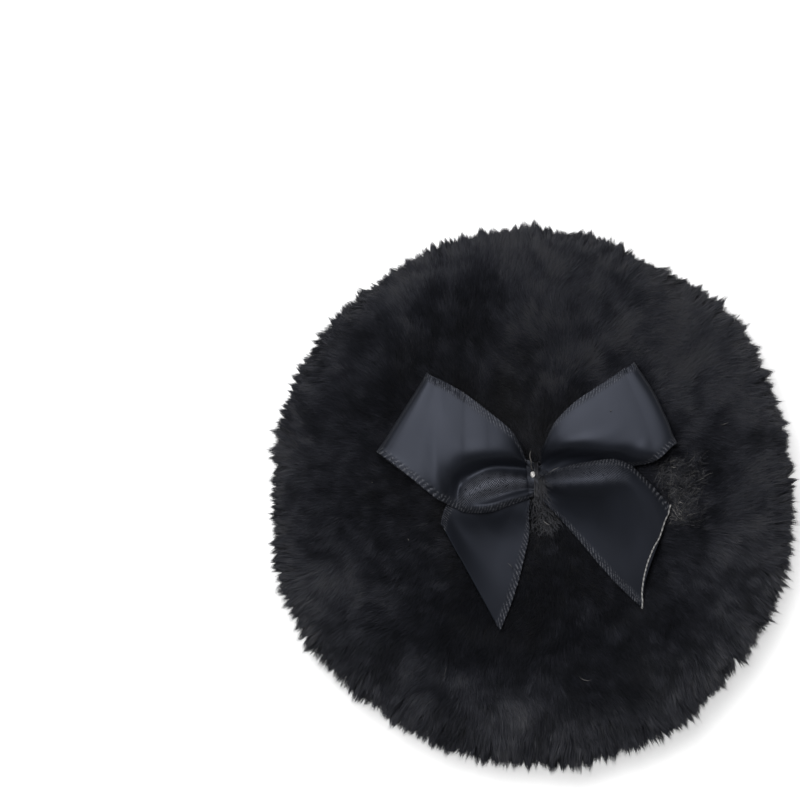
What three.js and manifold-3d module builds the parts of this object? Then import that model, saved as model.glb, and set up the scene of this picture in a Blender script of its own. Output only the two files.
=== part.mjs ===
import * as THREE from 'three';
import { mergeVertices } from 'three/addons/utils/BufferGeometryUtils.js';
import Module from 'manifold-3d';

// A round plush powder puff with a ribbon bow tacked to its crown.
// Millimetres, +Z up. The puff rests on the flat underside of its pile, at z = 0,
// and its pile is centred on the origin. +Y points to the bow's upper side.

const wasm = await Module();
wasm.setup();

// Driving dimensions of the puff.
const puffWidth = 90;
const puffThickness = 26;
const footDiameter = 48;
const combedReach = 3.6;
const pileRoundnessShare = 2.6;
const footRoundnessShare = 2.2;

// Driving dimensions of the sewn pad inside the pile.
const rimPileDepth = 7;
const facePileDepth = 6;
const padRoundnessShare = 2.4;
const backingThickness = 0.8;
const seamAllowance = 4.2;
const fillingRoom = 0.9;
const fillingRoundnessShare = 2.8;
const stitchRoom = 1.2;

// Driving dimensions of the bow and where it is tacked.
const ribbonWidth = 16;
const ribbonThickness = 0.45;
const bowOffset = 2.2;
const bowSeatGap = 0.5;
const dimpleDepth = 2.8;
const dimpleReach = 7;
const padDimpleShare = 0.6;

// Driving dimensions of the threads.
const threadDiameter = 0.4;
const knotDiameter = 2.2;
const bowKnotDiameter = 1;
const wrapCount = 2;
const wrapPitch = 0.85;
const wrapTopShare = 0.16;
const wrapSquarenessShare = 0.35;
const seamStitchCount = 30;
const seamStitchReach = 2.2;
const seamStitchPointShare = 3;
const seamStitchFlatShare = 0.3;
const closingStitchCount = 8;
const closingStitchHeight = 2.6;
const closingStitchSpanShare = 1 / 9;

// Every neighbouring pair of pieces keeps this gap.
const clearance = 0.3;

// Facets: counts only.
const padSides = 40;
const profileSpacingShare = 1.4;
const pileSteps = 12;
const backingSteps = 7;
const footSteps = 7;
const ribbonSidesAcross = 10;
const loopSteps = 26;
const tailSteps = 12;
const pleatSegments = 3;
const threadSides = 6;
const seamThreadSides = 4;
const seamStitchSteps = 8;
const closingStitchSteps = 4;
const wrapSteps = 24;
const threadEndSteps = 8;
const knotSides = 12;
const knotRings = 8;

// The combed pile reaches further along Y than across.
const puffLength = puffWidth + combedReach;
const pileRadius = puffWidth / 2;
const footRadius = footDiameter / 2;
const padRadius = pileRadius - rimPileDepth;
const seamHeight = puffThickness / 2;
const padRise = seamHeight - facePileDepth;
const threadRadius = threadDiameter / 2;
const stitchHoleRadius = threadRadius + clearance;

// The raw edges of both cloths, and the ring of overlock thread just inside them.
const rawEdgeRadius = padRadius - backingThickness - seamAllowance;
const seamRingRadius = rawEdgeRadius - clearance - 2 * threadRadius;

const finishes = {
  pile: { color: 0x1c1d21, roughness: 0.95 },
  backing: { color: 0x17181b, roughness: 0.9 },
  filling: { color: 0xe8e4dc, roughness: 1 },
  satin: { color: 0x43464f, roughness: 0.45 },
  thread: { color: 0x222227, roughness: 0.7 },
  threadEnd: { color: 0xb9b6b4, roughness: 0.6 },
};

function clothMaterial(finish) {
  return new THREE.MeshStandardMaterial({ ...finish, metalness: 0 });
}

// Height of a rounded dome over its rim plane, at a radius.
function domeHeight(radius, rimRadius, rise, roundnessShare) {
  const share = Math.min(radius / rimRadius, 1);
  return rise * (1 - share ** roundnessShare) ** (1 / roundnessShare);
}

// The tacked bow draws the crown down around its centre.
function dimple(radius) {
  return dimpleDepth * Math.exp(-((radius / dimpleReach) ** 2));
}

function pileTop(radius) {
  return seamHeight + domeHeight(radius, pileRadius, seamHeight, pileRoundnessShare) - dimple(radius);
}

// Points of a dome from a start radius out to its rim, closer together near the middle.
function domeProfile({ startRadius, rimRadius, rise, roundnessShare, dimpleShare, steps }) {
  const startAngle = Math.asin((startRadius / rimRadius) ** (roundnessShare / 2));
  const points = [];
  for (let i = 0; i <= steps; i += 1) {
    const angle = startAngle + (Math.PI / 2 - startAngle) * (i / steps) ** profileSpacingShare;
    const radius = rimRadius * Math.sin(angle) ** (2 / roundnessShare);
    const height = rise * Math.max(Math.cos(angle), 0) ** (2 / roundnessShare);
    points.push(new THREE.Vector2(radius, height - dimpleShare * dimple(radius)));
  }
  return points;
}

// A closed profile of radius and height, turned round the Z axis.
function turned(profile) {
  const geometry = new THREE.LatheGeometry([...profile, profile[0].clone()], padSides);
  return geometry.rotateX(Math.PI / 2);
}

function lifted(points, height) {
  return points.map((point) => new THREE.Vector2(point.x, height + point.y));
}

function lowered(points, height) {
  return points.map((point) => new THREE.Vector2(point.x, height - point.y));
}

// The pile reaches further along Y than the round pad, and is centred on the origin.
function drawPileOutline(geometry) {
  const position = geometry.getAttribute('position');
  const innerRadius = padRadius + stitchRoom;
  for (let i = 0; i < position.count; i += 1) {
    const radius = Math.hypot(position.getX(i), position.getY(i));
    const reach = Math.max((radius - innerRadius) / (pileRadius - innerRadius), 0);
    const stretch = 1 + (puffLength / puffWidth - 1) * reach;
    position.setY(i, position.getY(i) * stretch - bowOffset * reach);
  }
  return geometry;
}

const backingDome = {
  startRadius: stitchHoleRadius,
  rimRadius: padRadius,
  rise: padRise,
  roundnessShare: padRoundnessShare,
  dimpleShare: padDimpleShare,
  steps: backingSteps,
};

function backingInside(dome, offset) {
  return { ...dome, rimRadius: dome.rimRadius - offset, rise: dome.rise - offset };
}

// Upper pile: a thick plush cap with a hole for the tacking thread.
function topPile() {
  const outside = domeProfile({
    startRadius: stitchHoleRadius,
    rimRadius: pileRadius,
    rise: seamHeight,
    roundnessShare: pileRoundnessShare,
    dimpleShare: 1,
    steps: pileSteps,
  });
  const inside = domeProfile(backingInside(backingDome, -clearance));
  const rim = seamHeight + clearance / 2;
  const room = padRadius + stitchRoom;
  const roomTop = rim + closingStitchHeight / 2 + clearance;
  const over = lifted(inside, seamHeight).filter((point) => point.y > roomTop);
  outside[outside.length - 1].y = clearance / 2;
  const profile = [
    new THREE.Vector2(room, rim),
    ...lifted(outside, seamHeight).reverse(),
    ...over,
    new THREE.Vector2(room, roomTop),
  ];
  return drawPileOutline(turned(profile));
}

// Lower pile: the same depth of plush, pressed flat where the puff stands.
function bottomPile() {
  const foot = [];
  for (let i = 0; i <= footSteps; i += 1) {
    const angle = (Math.PI / 2) * (i / footSteps);
    const out = Math.sin(angle) ** (2 / footRoundnessShare);
    const up = 1 - Math.max(Math.cos(angle), 0) ** (2 / footRoundnessShare);
    const rimHeight = seamHeight - clearance / 2;
    foot.push(new THREE.Vector2(footRadius + (pileRadius - footRadius) * out, rimHeight * up));
  }
  const inside = domeProfile({ ...backingInside(backingDome, -clearance), startRadius: 0, dimpleShare: 0 });
  const rim = seamHeight - clearance / 2;
  const room = padRadius + stitchRoom;
  const roomBottom = rim - closingStitchHeight / 2 - clearance;
  const under = lowered(inside, seamHeight).filter((point) => point.y < roomBottom);
  const profile = [
    new THREE.Vector2(0, 0),
    ...foot,
    new THREE.Vector2(room, rim),
    new THREE.Vector2(room, roomBottom),
    ...under.reverse(),
  ];
  return drawPileOutline(turned(profile));
}

// Upper backing: a domed cloth whose edge turns in as a seam allowance.
function topBacking() {
  const outside = domeProfile(backingDome);
  const inside = domeProfile(backingInside(backingDome, backingThickness));
  const under = seamHeight + clearance / 2;
  outside[outside.length - 1].y = clearance / 2;
  inside[inside.length - 1].y = clearance / 2 + backingThickness;
  const profile = [
    new THREE.Vector2(rawEdgeRadius, under),
    ...lifted(outside, seamHeight).reverse(),
    ...lifted(inside, seamHeight),
    new THREE.Vector2(rawEdgeRadius, under + backingThickness),
  ];
  return turned(profile);
}

// Lower backing: the same cloth the other way up, with no hole and no dimple.
function bottomBacking() {
  const flat = { ...backingDome, startRadius: 0, dimpleShare: 0 };
  const outside = domeProfile(flat);
  const inside = domeProfile(backingInside(flat, backingThickness));
  const over = seamHeight - clearance / 2;
  outside[outside.length - 1].y = clearance / 2;
  inside[inside.length - 1].y = clearance / 2 + backingThickness;
  const profile = [
    ...lowered(outside, seamHeight),
    new THREE.Vector2(rawEdgeRadius, over),
    new THREE.Vector2(rawEdgeRadius, over - backingThickness),
    ...lowered(inside, seamHeight).reverse(),
  ];
  return turned(profile);
}

// Filling: a soft lens with a small well under the crown for the anchor knot.
function filling() {
  const wellRadius = knotDiameter / 2 + clearance;
  const rise = padRise - backingThickness - clearance;
  const dome = {
    startRadius: wellRadius,
    rimRadius: seamRingRadius - threadRadius - fillingRoom,
    rise,
    roundnessShare: fillingRoundnessShare,
    dimpleShare: padDimpleShare,
    steps: backingSteps,
  };
  const upper = lifted(domeProfile(dome), seamHeight);
  const lower = lowered(domeProfile({ ...dome, startRadius: 0, dimpleShare: 0 }), seamHeight);
  const wellFloor = upper[0].y - knotDiameter - clearance;
  const profile = [
    ...lower.slice(0, -1),
    ...upper.reverse(),
    new THREE.Vector2(wellRadius, wellFloor),
    new THREE.Vector2(0, wellFloor),
  ];
  return turned(profile);
}

// A round thread section for an extrusion.
function threadSection(radius, sides) {
  const section = new THREE.Shape();
  for (let i = 0; i < sides; i += 1) {
    const angle = (2 * Math.PI * i) / sides;
    const x = radius * Math.cos(angle);
    const y = radius * Math.sin(angle);
    if (i === 0) {
      section.moveTo(x, y);
    } else {
      section.lineTo(x, y);
    }
  }
  section.closePath();
  return section;
}

function threadAlong(points, steps, radius, sides) {
  const extrudePath = new THREE.CatmullRomCurve3(points);
  return new THREE.ExtrudeGeometry(threadSection(radius, sides), { steps, extrudePath, bevelEnabled: false });
}

// Overlock thread: one closed ring that swings over the raw edges of both seam allowances.
function edgeSeamThread() {
  const swing = clearance / 2 + backingThickness + 2 * clearance + threadRadius;
  const points = [];
  for (let i = 0; i < seamStitchCount * seamStitchSteps; i += 1) {
    const around = (2 * Math.PI * i) / (seamStitchCount * seamStitchSteps);
    const wave = Math.cos((2 * Math.PI * i) / seamStitchSteps);
    const radius = seamRingRadius + seamStitchReach * Math.abs(wave) ** seamStitchPointShare;
    const height = seamHeight + swing * Math.sign(wave) * Math.abs(wave) ** seamStitchFlatShare;
    points.push(new THREE.Vector3(radius * Math.cos(around), radius * Math.sin(around), height));
  }
  const ring = new THREE.CatmullRomCurve3(points, true);
  return new THREE.TubeGeometry(ring, points.length, threadRadius, seamThreadSides, true);
}

// Closing stitches: one thread that zigzags over the part of the rim closed last, by hand.
function closingStitches() {
  const radius = padRadius + clearance + 2 * threadRadius;
  const span = 2 * Math.PI * closingStitchSpanShare;
  const swing = (closingStitchHeight - threadDiameter) / 2;
  const points = [];
  for (let i = 0; i <= closingStitchCount; i += 1) {
    const around = -Math.PI / 2 - span / 2 + (span * i) / closingStitchCount;
    const height = seamHeight + (i % 2 === 0 ? swing : -swing);
    points.push(new THREE.Vector3(radius * Math.cos(around), radius * Math.sin(around), height));
  }
  return threadAlong(points, closingStitchCount * closingStitchSteps, threadRadius, threadSides);
}

// The bow's places are shares of the ribbon's width, from the tacked centre, and the third
// share is the height over the pile that the ribbon lies on.
function bowPoint([xShare, yShare, heightShare]) {
  const x = xShare * ribbonWidth;
  const y = yShare * ribbonWidth;
  const seat = pileTop(Math.hypot(x, y)) + bowSeatGap + ribbonThickness / 2;
  return new THREE.Vector3(x, y, seat + heightShare * ribbonWidth);
}

// Smooth sheet through ribs: each rib crosses the ribbon, and the ribs follow its length.
function loftPoint(ribCurves, along, across) {
  const crossing = ribCurves.map((curve) => curve.getPoint(across));
  return new THREE.CatmullRomCurve3(crossing).getPoint(along);
}

// A ribbon of even thickness on a lofted sheet, closed round its edges.
function ribbonSolid(ribShares, stepsAlong) {
  const ribCurves = ribShares.map((rib) => new THREE.CatmullRomCurve3(rib.map(bowPoint)));
  const stepsAcross = ribbonSidesAcross;
  const rows = [];
  for (let i = 0; i <= stepsAlong; i += 1) {
    const row = [];
    for (let j = 0; j <= stepsAcross; j += 1) {
      row.push(loftPoint(ribCurves, i / stepsAlong, j / stepsAcross));
    }
    rows.push(row);
  }
  const vertices = [];
  const half = ribbonThickness / 2;
  const within = THREE.MathUtils.clamp;
  const at = (i, j) => rows[within(i, 0, stepsAlong)][within(j, 0, stepsAcross)];
  for (const side of [1, -1]) {
    for (let i = 0; i <= stepsAlong; i += 1) {
      for (let j = 0; j <= stepsAcross; j += 1) {
        const along = at(i + 1, j).clone().sub(at(i - 1, j));
        const across = at(i, j + 1).clone().sub(at(i, j - 1));
        const normal = along.cross(across).normalize();
        vertices.push(...at(i, j).clone().addScaledVector(normal, side * half).toArray());
      }
    }
  }
  const indices = [];
  const columns = stepsAcross + 1;
  const under = (stepsAlong + 1) * columns;
  const quad = (a, b, c, d) => indices.push(a, b, c, a, c, d);
  for (let i = 0; i < stepsAlong; i += 1) {
    for (let j = 0; j < stepsAcross; j += 1) {
      const a = i * columns + j;
      quad(a, a + columns, a + columns + 1, a + 1);
      quad(under + a, under + a + 1, under + a + columns + 1, under + a + columns);
    }
    const left = i * columns;
    const right = left + stepsAcross;
    quad(left, under + left, under + left + columns, left + columns);
    quad(right, right + columns, under + right + columns, under + right);
  }
  for (let j = 0; j < stepsAcross; j += 1) {
    const far = stepsAlong * columns + j;
    quad(j, j + 1, under + j + 1, under + j);
    quad(far, under + far, under + far + 1, far + 1);
  }
  const geometry = new THREE.BufferGeometry();
  geometry.setAttribute('position', new THREE.Float32BufferAttribute(vertices, 3));
  geometry.setIndex(indices);
  return geometry;
}

// Left loop, from the gathered centre out over the top, round the fold and back below.
// Each rib runs from the upper selvedge to the lower one.
const leftLoopRibShares = [
  [[-0.085, 0.23, 0.16], [-0.08, 0.16, 0.14], [-0.075, 0.07, 0.1], [-0.07, -0.02, 0.17],
    [-0.065, -0.09, 0.12], [-0.06, -0.14, 0.14], [-0.055, -0.19, 0.09]],
  [[-0.24, 0.52, 0.22], [-0.235, 0.34, 0.22], [-0.235, 0.17, 0.1], [-0.235, 0, 0.17], [-0.235, -0.12, 0.11],
    [-0.235, -0.19, 0.13], [-0.235, -0.255, 0.09]],
  [[-0.5, 0.745, 0.27], [-0.49, 0.44, 0.28], [-0.485, 0.24, 0.19], [-0.485, 0.12, 0.1], [-0.485, -0.03, 0.17],
    [-0.485, -0.17, 0.14], [-0.485, -0.33, 0.09]],
  [[-0.73, 0.92, 0.29], [-0.73, 0.62, 0.3], [-0.73, 0.36, 0.28], [-0.73, 0.14, 0.19], [-0.73, 0, 0.12],
    [-0.73, -0.17, 0.12], [-0.73, -0.31, 0.09]],
  [[-0.92, 1.03, 0.28], [-0.94, 0.83, 0.3], [-0.96, 0.63, 0.3], [-0.98, 0.43, 0.29], [-1, 0.23, 0.26],
    [-1.02, 0.03, 0.21], [-1.04, -0.15, 0.16]],
  [[-1.05, 1.09, 0.25], [-1.11, 0.92, 0.26], [-1.17, 0.75, 0.26], [-1.23, 0.58, 0.26], [-1.29, 0.41, 0.25],
    [-1.35, 0.24, 0.24], [-1.4, 0.09, 0.21]],
  [[-1.12, 1.13, 0.12], [-1.21, 0.99, 0.12], [-1.3, 0.85, 0.12], [-1.385, 0.71, 0.12], [-1.47, 0.57, 0.12],
    [-1.56, 0.43, 0.12], [-1.65, 0.29, 0.12]],
  [[-1.05, 1.07, 0.01], [-1.11, 0.91, 0.01], [-1.17, 0.75, 0.01], [-1.23, 0.58, 0.01], [-1.29, 0.41, 0.01],
    [-1.35, 0.25, 0.01], [-1.4, 0.1, 0.01]],
  [[-0.88, 0.96, 0], [-0.89, 0.79, 0], [-0.9, 0.62, 0], [-0.91, 0.45, 0], [-0.92, 0.28, 0], [-0.93, 0.1, 0],
    [-0.94, -0.08, 0]],
  [[-0.52, 0.7, 0], [-0.52, 0.52, 0], [-0.52, 0.35, 0], [-0.52, 0.18, 0], [-0.52, 0.03, 0], [-0.52, -0.12, 0],
    [-0.52, -0.26, 0]],
  [[-0.09, 0.2, 0], [-0.09, 0.14, 0], [-0.085, 0.08, 0], [-0.08, 0.02, 0], [-0.075, -0.04, 0],
    [-0.07, -0.1, 0], [-0.065, -0.16, 0]],
];

// Right loop, in the same order. Its lower side rolls down towards the tail.
const rightLoopRibShares = [
  [[0.145, 0.36, 0.17], [0.145, 0.29, 0.17], [0.14, 0.22, 0.16], [0.14, 0.16, 0.14], [0.135, 0.1, 0.11],
    [0.135, 0.05, 0.09], [0.135, 0.01, 0.08]],
  [[0.22, 0.62, 0.23], [0.24, 0.5, 0.25], [0.26, 0.39, 0.25], [0.28, 0.3, 0.21], [0.3, 0.22, 0.15],
    [0.31, 0.15, 0.1], [0.32, 0.09, 0.08]],
  [[0.42, 0.83, 0.26], [0.46, 0.66, 0.29], [0.5, 0.52, 0.29], [0.53, 0.4, 0.27], [0.56, 0.3, 0.18],
    [0.58, 0.22, 0.11], [0.6, 0.16, 0.08]],
  [[0.68, 1, 0.27], [0.74, 0.82, 0.3], [0.79, 0.66, 0.3], [0.84, 0.5, 0.3], [0.88, 0.37, 0.24],
    [0.91, 0.27, 0.14], [0.93, 0.195, 0.09]],
  [[0.86, 1.12, 0.27], [0.93, 0.95, 0.29], [1, 0.78, 0.29], [1.06, 0.62, 0.29], [1.12, 0.46, 0.26],
    [1.17, 0.32, 0.18], [1.2, 0.2, 0.13]],
  [[0.98, 1.19, 0.24], [1.07, 1.02, 0.25], [1.16, 0.85, 0.26], [1.23, 0.69, 0.26], [1.29, 0.53, 0.25],
    [1.34, 0.39, 0.21], [1.38, 0.27, 0.17]],
  [[1.05, 1.24, 0.12], [1.16, 1.1, 0.12], [1.26, 0.94, 0.12], [1.34, 0.79, 0.12], [1.4, 0.65, 0.12],
    [1.45, 0.52, 0.12], [1.5, 0.39, 0.12]],
  [[0.98, 1.16, 0.01], [1.07, 1, 0.01], [1.16, 0.84, 0.01], [1.23, 0.69, 0.01], [1.28, 0.54, 0.01],
    [1.32, 0.41, 0.01], [1.36, 0.29, 0.01]],
  [[0.72, 0.98, 0], [0.77, 0.84, 0], [0.82, 0.7, 0], [0.86, 0.56, 0], [0.89, 0.44, 0], [0.92, 0.33, 0],
    [0.94, 0.23, 0]],
  [[0.36, 0.68, 0], [0.4, 0.58, 0], [0.44, 0.48, 0], [0.47, 0.39, 0], [0.5, 0.31, 0], [0.52, 0.24, 0],
    [0.54, 0.18, 0]],
  [[0.145, 0.32, 0], [0.145, 0.27, 0], [0.14, 0.22, 0], [0.14, 0.17, 0], [0.14, 0.12, 0], [0.14, 0.08, 0],
    [0.14, 0.05, 0]],
];

// Left tail, from under the loop to its slanting cut end, left selvedge first.
const leftTailRibShares = [
  [[-0.15, -0.31, 0.02], [-0.13, -0.32, 0.04], [-0.11, -0.33, 0.02], [-0.09, -0.34, 0.04],
    [-0.07, -0.35, 0.02], [-0.045, -0.36, 0.02]],
  [[-0.36, -0.37, 0.03], [-0.29, -0.4, 0.05], [-0.22, -0.43, 0.03], [-0.15, -0.46, 0.05],
    [-0.08, -0.49, 0.03], [-0.02, -0.5, 0.04]],
  [[-0.68, -0.42, 0.03], [-0.56, -0.5, 0.05], [-0.44, -0.58, 0.06], [-0.33, -0.65, 0.07],
    [-0.22, -0.71, 0.06], [-0.11, -0.76, 0.05]],
  [[-0.9, -0.45, 0.02], [-0.76, -0.6, 0.05], [-0.62, -0.75, 0.07], [-0.49, -0.89, 0.08], [-0.36, -1.02, 0.07],
    [-0.22, -1.14, 0.05]],
  [[-0.985, -0.455, 0.01], [-0.86, -0.69, 0.04], [-0.73, -0.92, 0.06], [-0.605, -1.15, 0.06],
    [-0.48, -1.38, 0.04], [-0.355, -1.61, 0.01]],
];

// Right tail, from its ridge beside the loop to its cut end, upper selvedge first.
const rightTailRibShares = [
  [[0.14, -0.04, 0.09], [0.14, -0.08, 0.12], [0.14, -0.12, 0.07], [0.14, -0.16, 0.09], [0.15, -0.2, 0.04],
    [0.16, -0.25, 0.02]],
  [[0.35, 0.02, 0.14], [0.36, -0.04, 0.17], [0.35, -0.11, 0.1], [0.34, -0.2, 0.08], [0.33, -0.3, 0.06],
    [0.32, -0.4, 0.03]],
  [[0.66, 0.12, 0.17], [0.68, 0.03, 0.2], [0.67, -0.1, 0.15], [0.64, -0.27, 0.08], [0.6, -0.47, 0.07],
    [0.55, -0.68, 0.05]],
  [[0.97, 0.1, 0.12], [1, -0.04, 0.15], [0.99, -0.22, 0.12], [0.95, -0.45, 0.09], [0.89, -0.72, 0.08],
    [0.83, -1.02, 0.05]],
  [[1.22, -0.06, 0.05], [1.23, -0.22, 0.08], [1.2, -0.42, 0.09], [1.14, -0.67, 0.09], [1.07, -0.93, 0.07],
    [1, -1.2, 0.04]],
  [[1.445, -0.27, 0.01], [1.39, -0.46, 0.03], [1.33, -0.65, 0.05], [1.25, -0.85, 0.06], [1.18, -1.08, 0.04],
    [1.15, -1.35, 0.01]],
];

// Gathered centre: the ribbon's layers pleated together under the thread.
const centreFoldSpanShares = { left: -0.03, right: 0.1, top: 0.22, bottom: -0.27 };
const centreFoldBaseShare = 0.05;
const centreFoldPleatShares = [
  [-0.27, 0.02], [-0.2, 0.1], [-0.13, 0.06], [-0.06, 0.13], [0.02, 0.08], [0.09, 0.14], [0.16, 0.09],
  [0.22, 0.03],
];

function centreSeat() {
  return pileTop(0) + bowSeatGap + ribbonThickness / 2;
}

function bowCentreFold() {
  const base = centreFoldBaseShare * ribbonWidth;
  const pleats = centreFoldPleatShares.map(
    ([yShare, riseShare]) => new THREE.Vector2(yShare * ribbonWidth, base + riseShare * ribbonWidth),
  );
  const outline = new THREE.Shape();
  outline.moveTo(centreFoldSpanShares.bottom * ribbonWidth, base);
  outline.lineTo(pleats[0].x, pleats[0].y);
  outline.splineThru(pleats.slice(1));
  outline.lineTo(centreFoldSpanShares.top * ribbonWidth, base);
  outline.closePath();
  const depth = (centreFoldSpanShares.right - centreFoldSpanShares.left) * ribbonWidth;
  const geometry = new THREE.ExtrudeGeometry(outline, {
    depth,
    bevelEnabled: false,
    curveSegments: pleatSegments,
  });
  // The outline's axes turn to Y and Z, and the extrusion runs along X.
  geometry.applyMatrix4(new THREE.Matrix4().makeBasis(
    new THREE.Vector3(0, 1, 0),
    new THREE.Vector3(0, 0, 1),
    new THREE.Vector3(1, 0, 0),
  ));
  return geometry.translate(centreFoldSpanShares.left * ribbonWidth, 0, centreSeat());
}

// Pinching thread: one thread wound round the gathered centre.
function cinchWrapPoints() {
  const middle = (centreFoldSpanShares.left + centreFoldSpanShares.right) / 2 * ribbonWidth;
  const yMiddle = (centreFoldSpanShares.top + centreFoldSpanShares.bottom) / 2 * ribbonWidth;
  const foldHalf = (centreFoldSpanShares.top - centreFoldSpanShares.bottom) / 2 * ribbonWidth;
  const stand = clearance + threadRadius;
  const lowest = centreFoldBaseShare * ribbonWidth - stand;
  const highest = (centreFoldBaseShare + wrapTopShare) * ribbonWidth + stand;
  const points = [];
  for (let i = 0; i <= wrapCount * wrapSteps; i += 1) {
    const turn = (2 * Math.PI * i) / wrapSteps;
    const out = Math.sign(Math.cos(turn)) * Math.abs(Math.cos(turn)) ** wrapSquarenessShare;
    const up = Math.sign(Math.sin(turn)) * Math.abs(Math.sin(turn)) ** wrapSquarenessShare;
    const x = middle + wrapPitch * (i / wrapSteps - wrapCount / 2);
    const y = yMiddle + (foldHalf + stand) * out;
    const z = centreSeat() + (lowest + highest) / 2 + (highest - lowest) / 2 * up;
    points.push(new THREE.Vector3(x, y, z));
  }
  return points;
}

function leastGapToItself(points, diameter, skipped) {
  let least = Infinity;
  for (let i = 0; i < points.length; i += 1) {
    for (let j = i + skipped; j < points.length; j += 1) {
      least = Math.min(least, points[i].distanceTo(points[j]) - diameter);
    }
  }
  return least;
}

function cinchThread() {
  const points = cinchWrapPoints();
  const gap = leastGapToItself(points, threadDiameter, wrapSteps / 2);
  console.log(`cinch thread, least gap to itself: ${gap.toFixed(2)} mm`);
  return threadAlong(points, points.length - 1, threadRadius, threadSides);
}

function manifoldOf(geometry) {
  geometry.deleteAttribute('normal');
  geometry.deleteAttribute('uv');
  const merged = mergeVertices(geometry);
  return new wasm.Manifold(new wasm.Mesh({
    numProp: 3,
    vertProperties: merged.getAttribute('position').array,
    triVerts: new Uint32Array(merged.getIndex().array),
  }));
}

function geometryOf(solid) {
  const mesh = solid.getMesh();
  const geometry = new THREE.BufferGeometry();
  geometry.setAttribute('position', new THREE.BufferAttribute(mesh.vertProperties, 3));
  geometry.setIndex(new THREE.BufferAttribute(mesh.triVerts, 1));
  return geometry;
}

// Bow knot: the finishing knot on the wraps, with the thread's end standing up from it.
const bowKnotShares = [0.02, 0.06];
const threadEndRouteShares = [[0.02, 0.06, 0], [0.018, 0.12, 0.04], [0.016, 0.19, 0.08], [0.014, 0.25, 0.1]];

function bowKnot() {
  const wrapTop = (centreFoldBaseShare + wrapTopShare) * ribbonWidth + clearance + threadDiameter;
  const height = centreSeat() + wrapTop + clearance + bowKnotDiameter / 2;
  const knot = new THREE.SphereGeometry(bowKnotDiameter / 2, knotSides, knotRings);
  knot.translate(bowKnotShares[0] * ribbonWidth, bowKnotShares[1] * ribbonWidth, height);
  const route = threadEndRouteShares.map(([xShare, yShare, riseShare]) => new THREE.Vector3(
    xShare * ribbonWidth,
    yShare * ribbonWidth,
    height + riseShare * ribbonWidth,
  ));
  const end = threadAlong(route, threadEndSteps, threadRadius, threadSides);
  return geometryOf(manifoldOf(knot).add(manifoldOf(end)));
}

// Anchor: a stitch from under the bow down through the crown, and the knot that stops it inside.
function anchorKnotTop() {
  const crown = seamHeight + padRise - padDimpleShare * dimpleDepth;
  return crown - backingThickness - clearance;
}

function anchorKnot() {
  const knot = new THREE.SphereGeometry(knotDiameter / 2, knotSides, knotRings);
  return knot.translate(0, 0, anchorKnotTop() - knotDiameter / 2);
}

function anchorStitch() {
  const low = anchorKnotTop() + clearance;
  const high = centreSeat() + centreFoldBaseShare * ribbonWidth - 2 * clearance - threadDiameter;
  const stitch = new THREE.CylinderGeometry(threadRadius, threadRadius, high - low, threadSides);
  return stitch.rotateX(Math.PI / 2).translate(0, 0, (low + high) / 2);
}

const puff = new THREE.Group();
const pad = new THREE.Group();
const bow = new THREE.Group();
pad.position.y = bowOffset;
bow.position.y = bowOffset;
puff.add(pad, bow);

function addPiece(group, name, geometry, material) {
  const mesh = new THREE.Mesh(geometry, material);
  mesh.name = name;
  group.add(mesh);
}

const pileMaterial = clothMaterial(finishes.pile);
const backingMaterial = clothMaterial(finishes.backing);
const satinMaterial = clothMaterial(finishes.satin);
const threadMaterial = clothMaterial(finishes.thread);

addPiece(pad, 'bottom_pile', bottomPile(), pileMaterial);
addPiece(pad, 'bottom_backing', bottomBacking(), backingMaterial);
addPiece(pad, 'filling', filling(), clothMaterial(finishes.filling));
addPiece(pad, 'edge_seam_thread', edgeSeamThread(), threadMaterial);
addPiece(pad, 'closing_stitches', closingStitches(), threadMaterial);
addPiece(pad, 'top_backing', topBacking(), backingMaterial);
addPiece(pad, 'top_pile', topPile(), pileMaterial);
addPiece(pad, 'anchor_knot', anchorKnot(), threadMaterial);
addPiece(pad, 'anchor_stitch', anchorStitch(), threadMaterial);
addPiece(bow, 'bow_centre_fold', bowCentreFold(), satinMaterial);
addPiece(bow, 'cinch_thread', cinchThread(), threadMaterial);
addPiece(bow, 'bow_knot', bowKnot(), clothMaterial(finishes.threadEnd));
addPiece(bow, 'bow_left_loop', ribbonSolid(leftLoopRibShares, loopSteps), satinMaterial);
addPiece(bow, 'bow_right_loop', ribbonSolid(rightLoopRibShares, loopSteps), satinMaterial);
addPiece(bow, 'bow_left_tail', ribbonSolid(leftTailRibShares, tailSteps), satinMaterial);
addPiece(bow, 'bow_right_tail', ribbonSolid(rightTailRibShares, tailSteps), satinMaterial);

export default puff;
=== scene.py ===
import math

import bmesh
import bpy
import numpy as np
from mathutils import Matrix, Vector, kdtree


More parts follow.
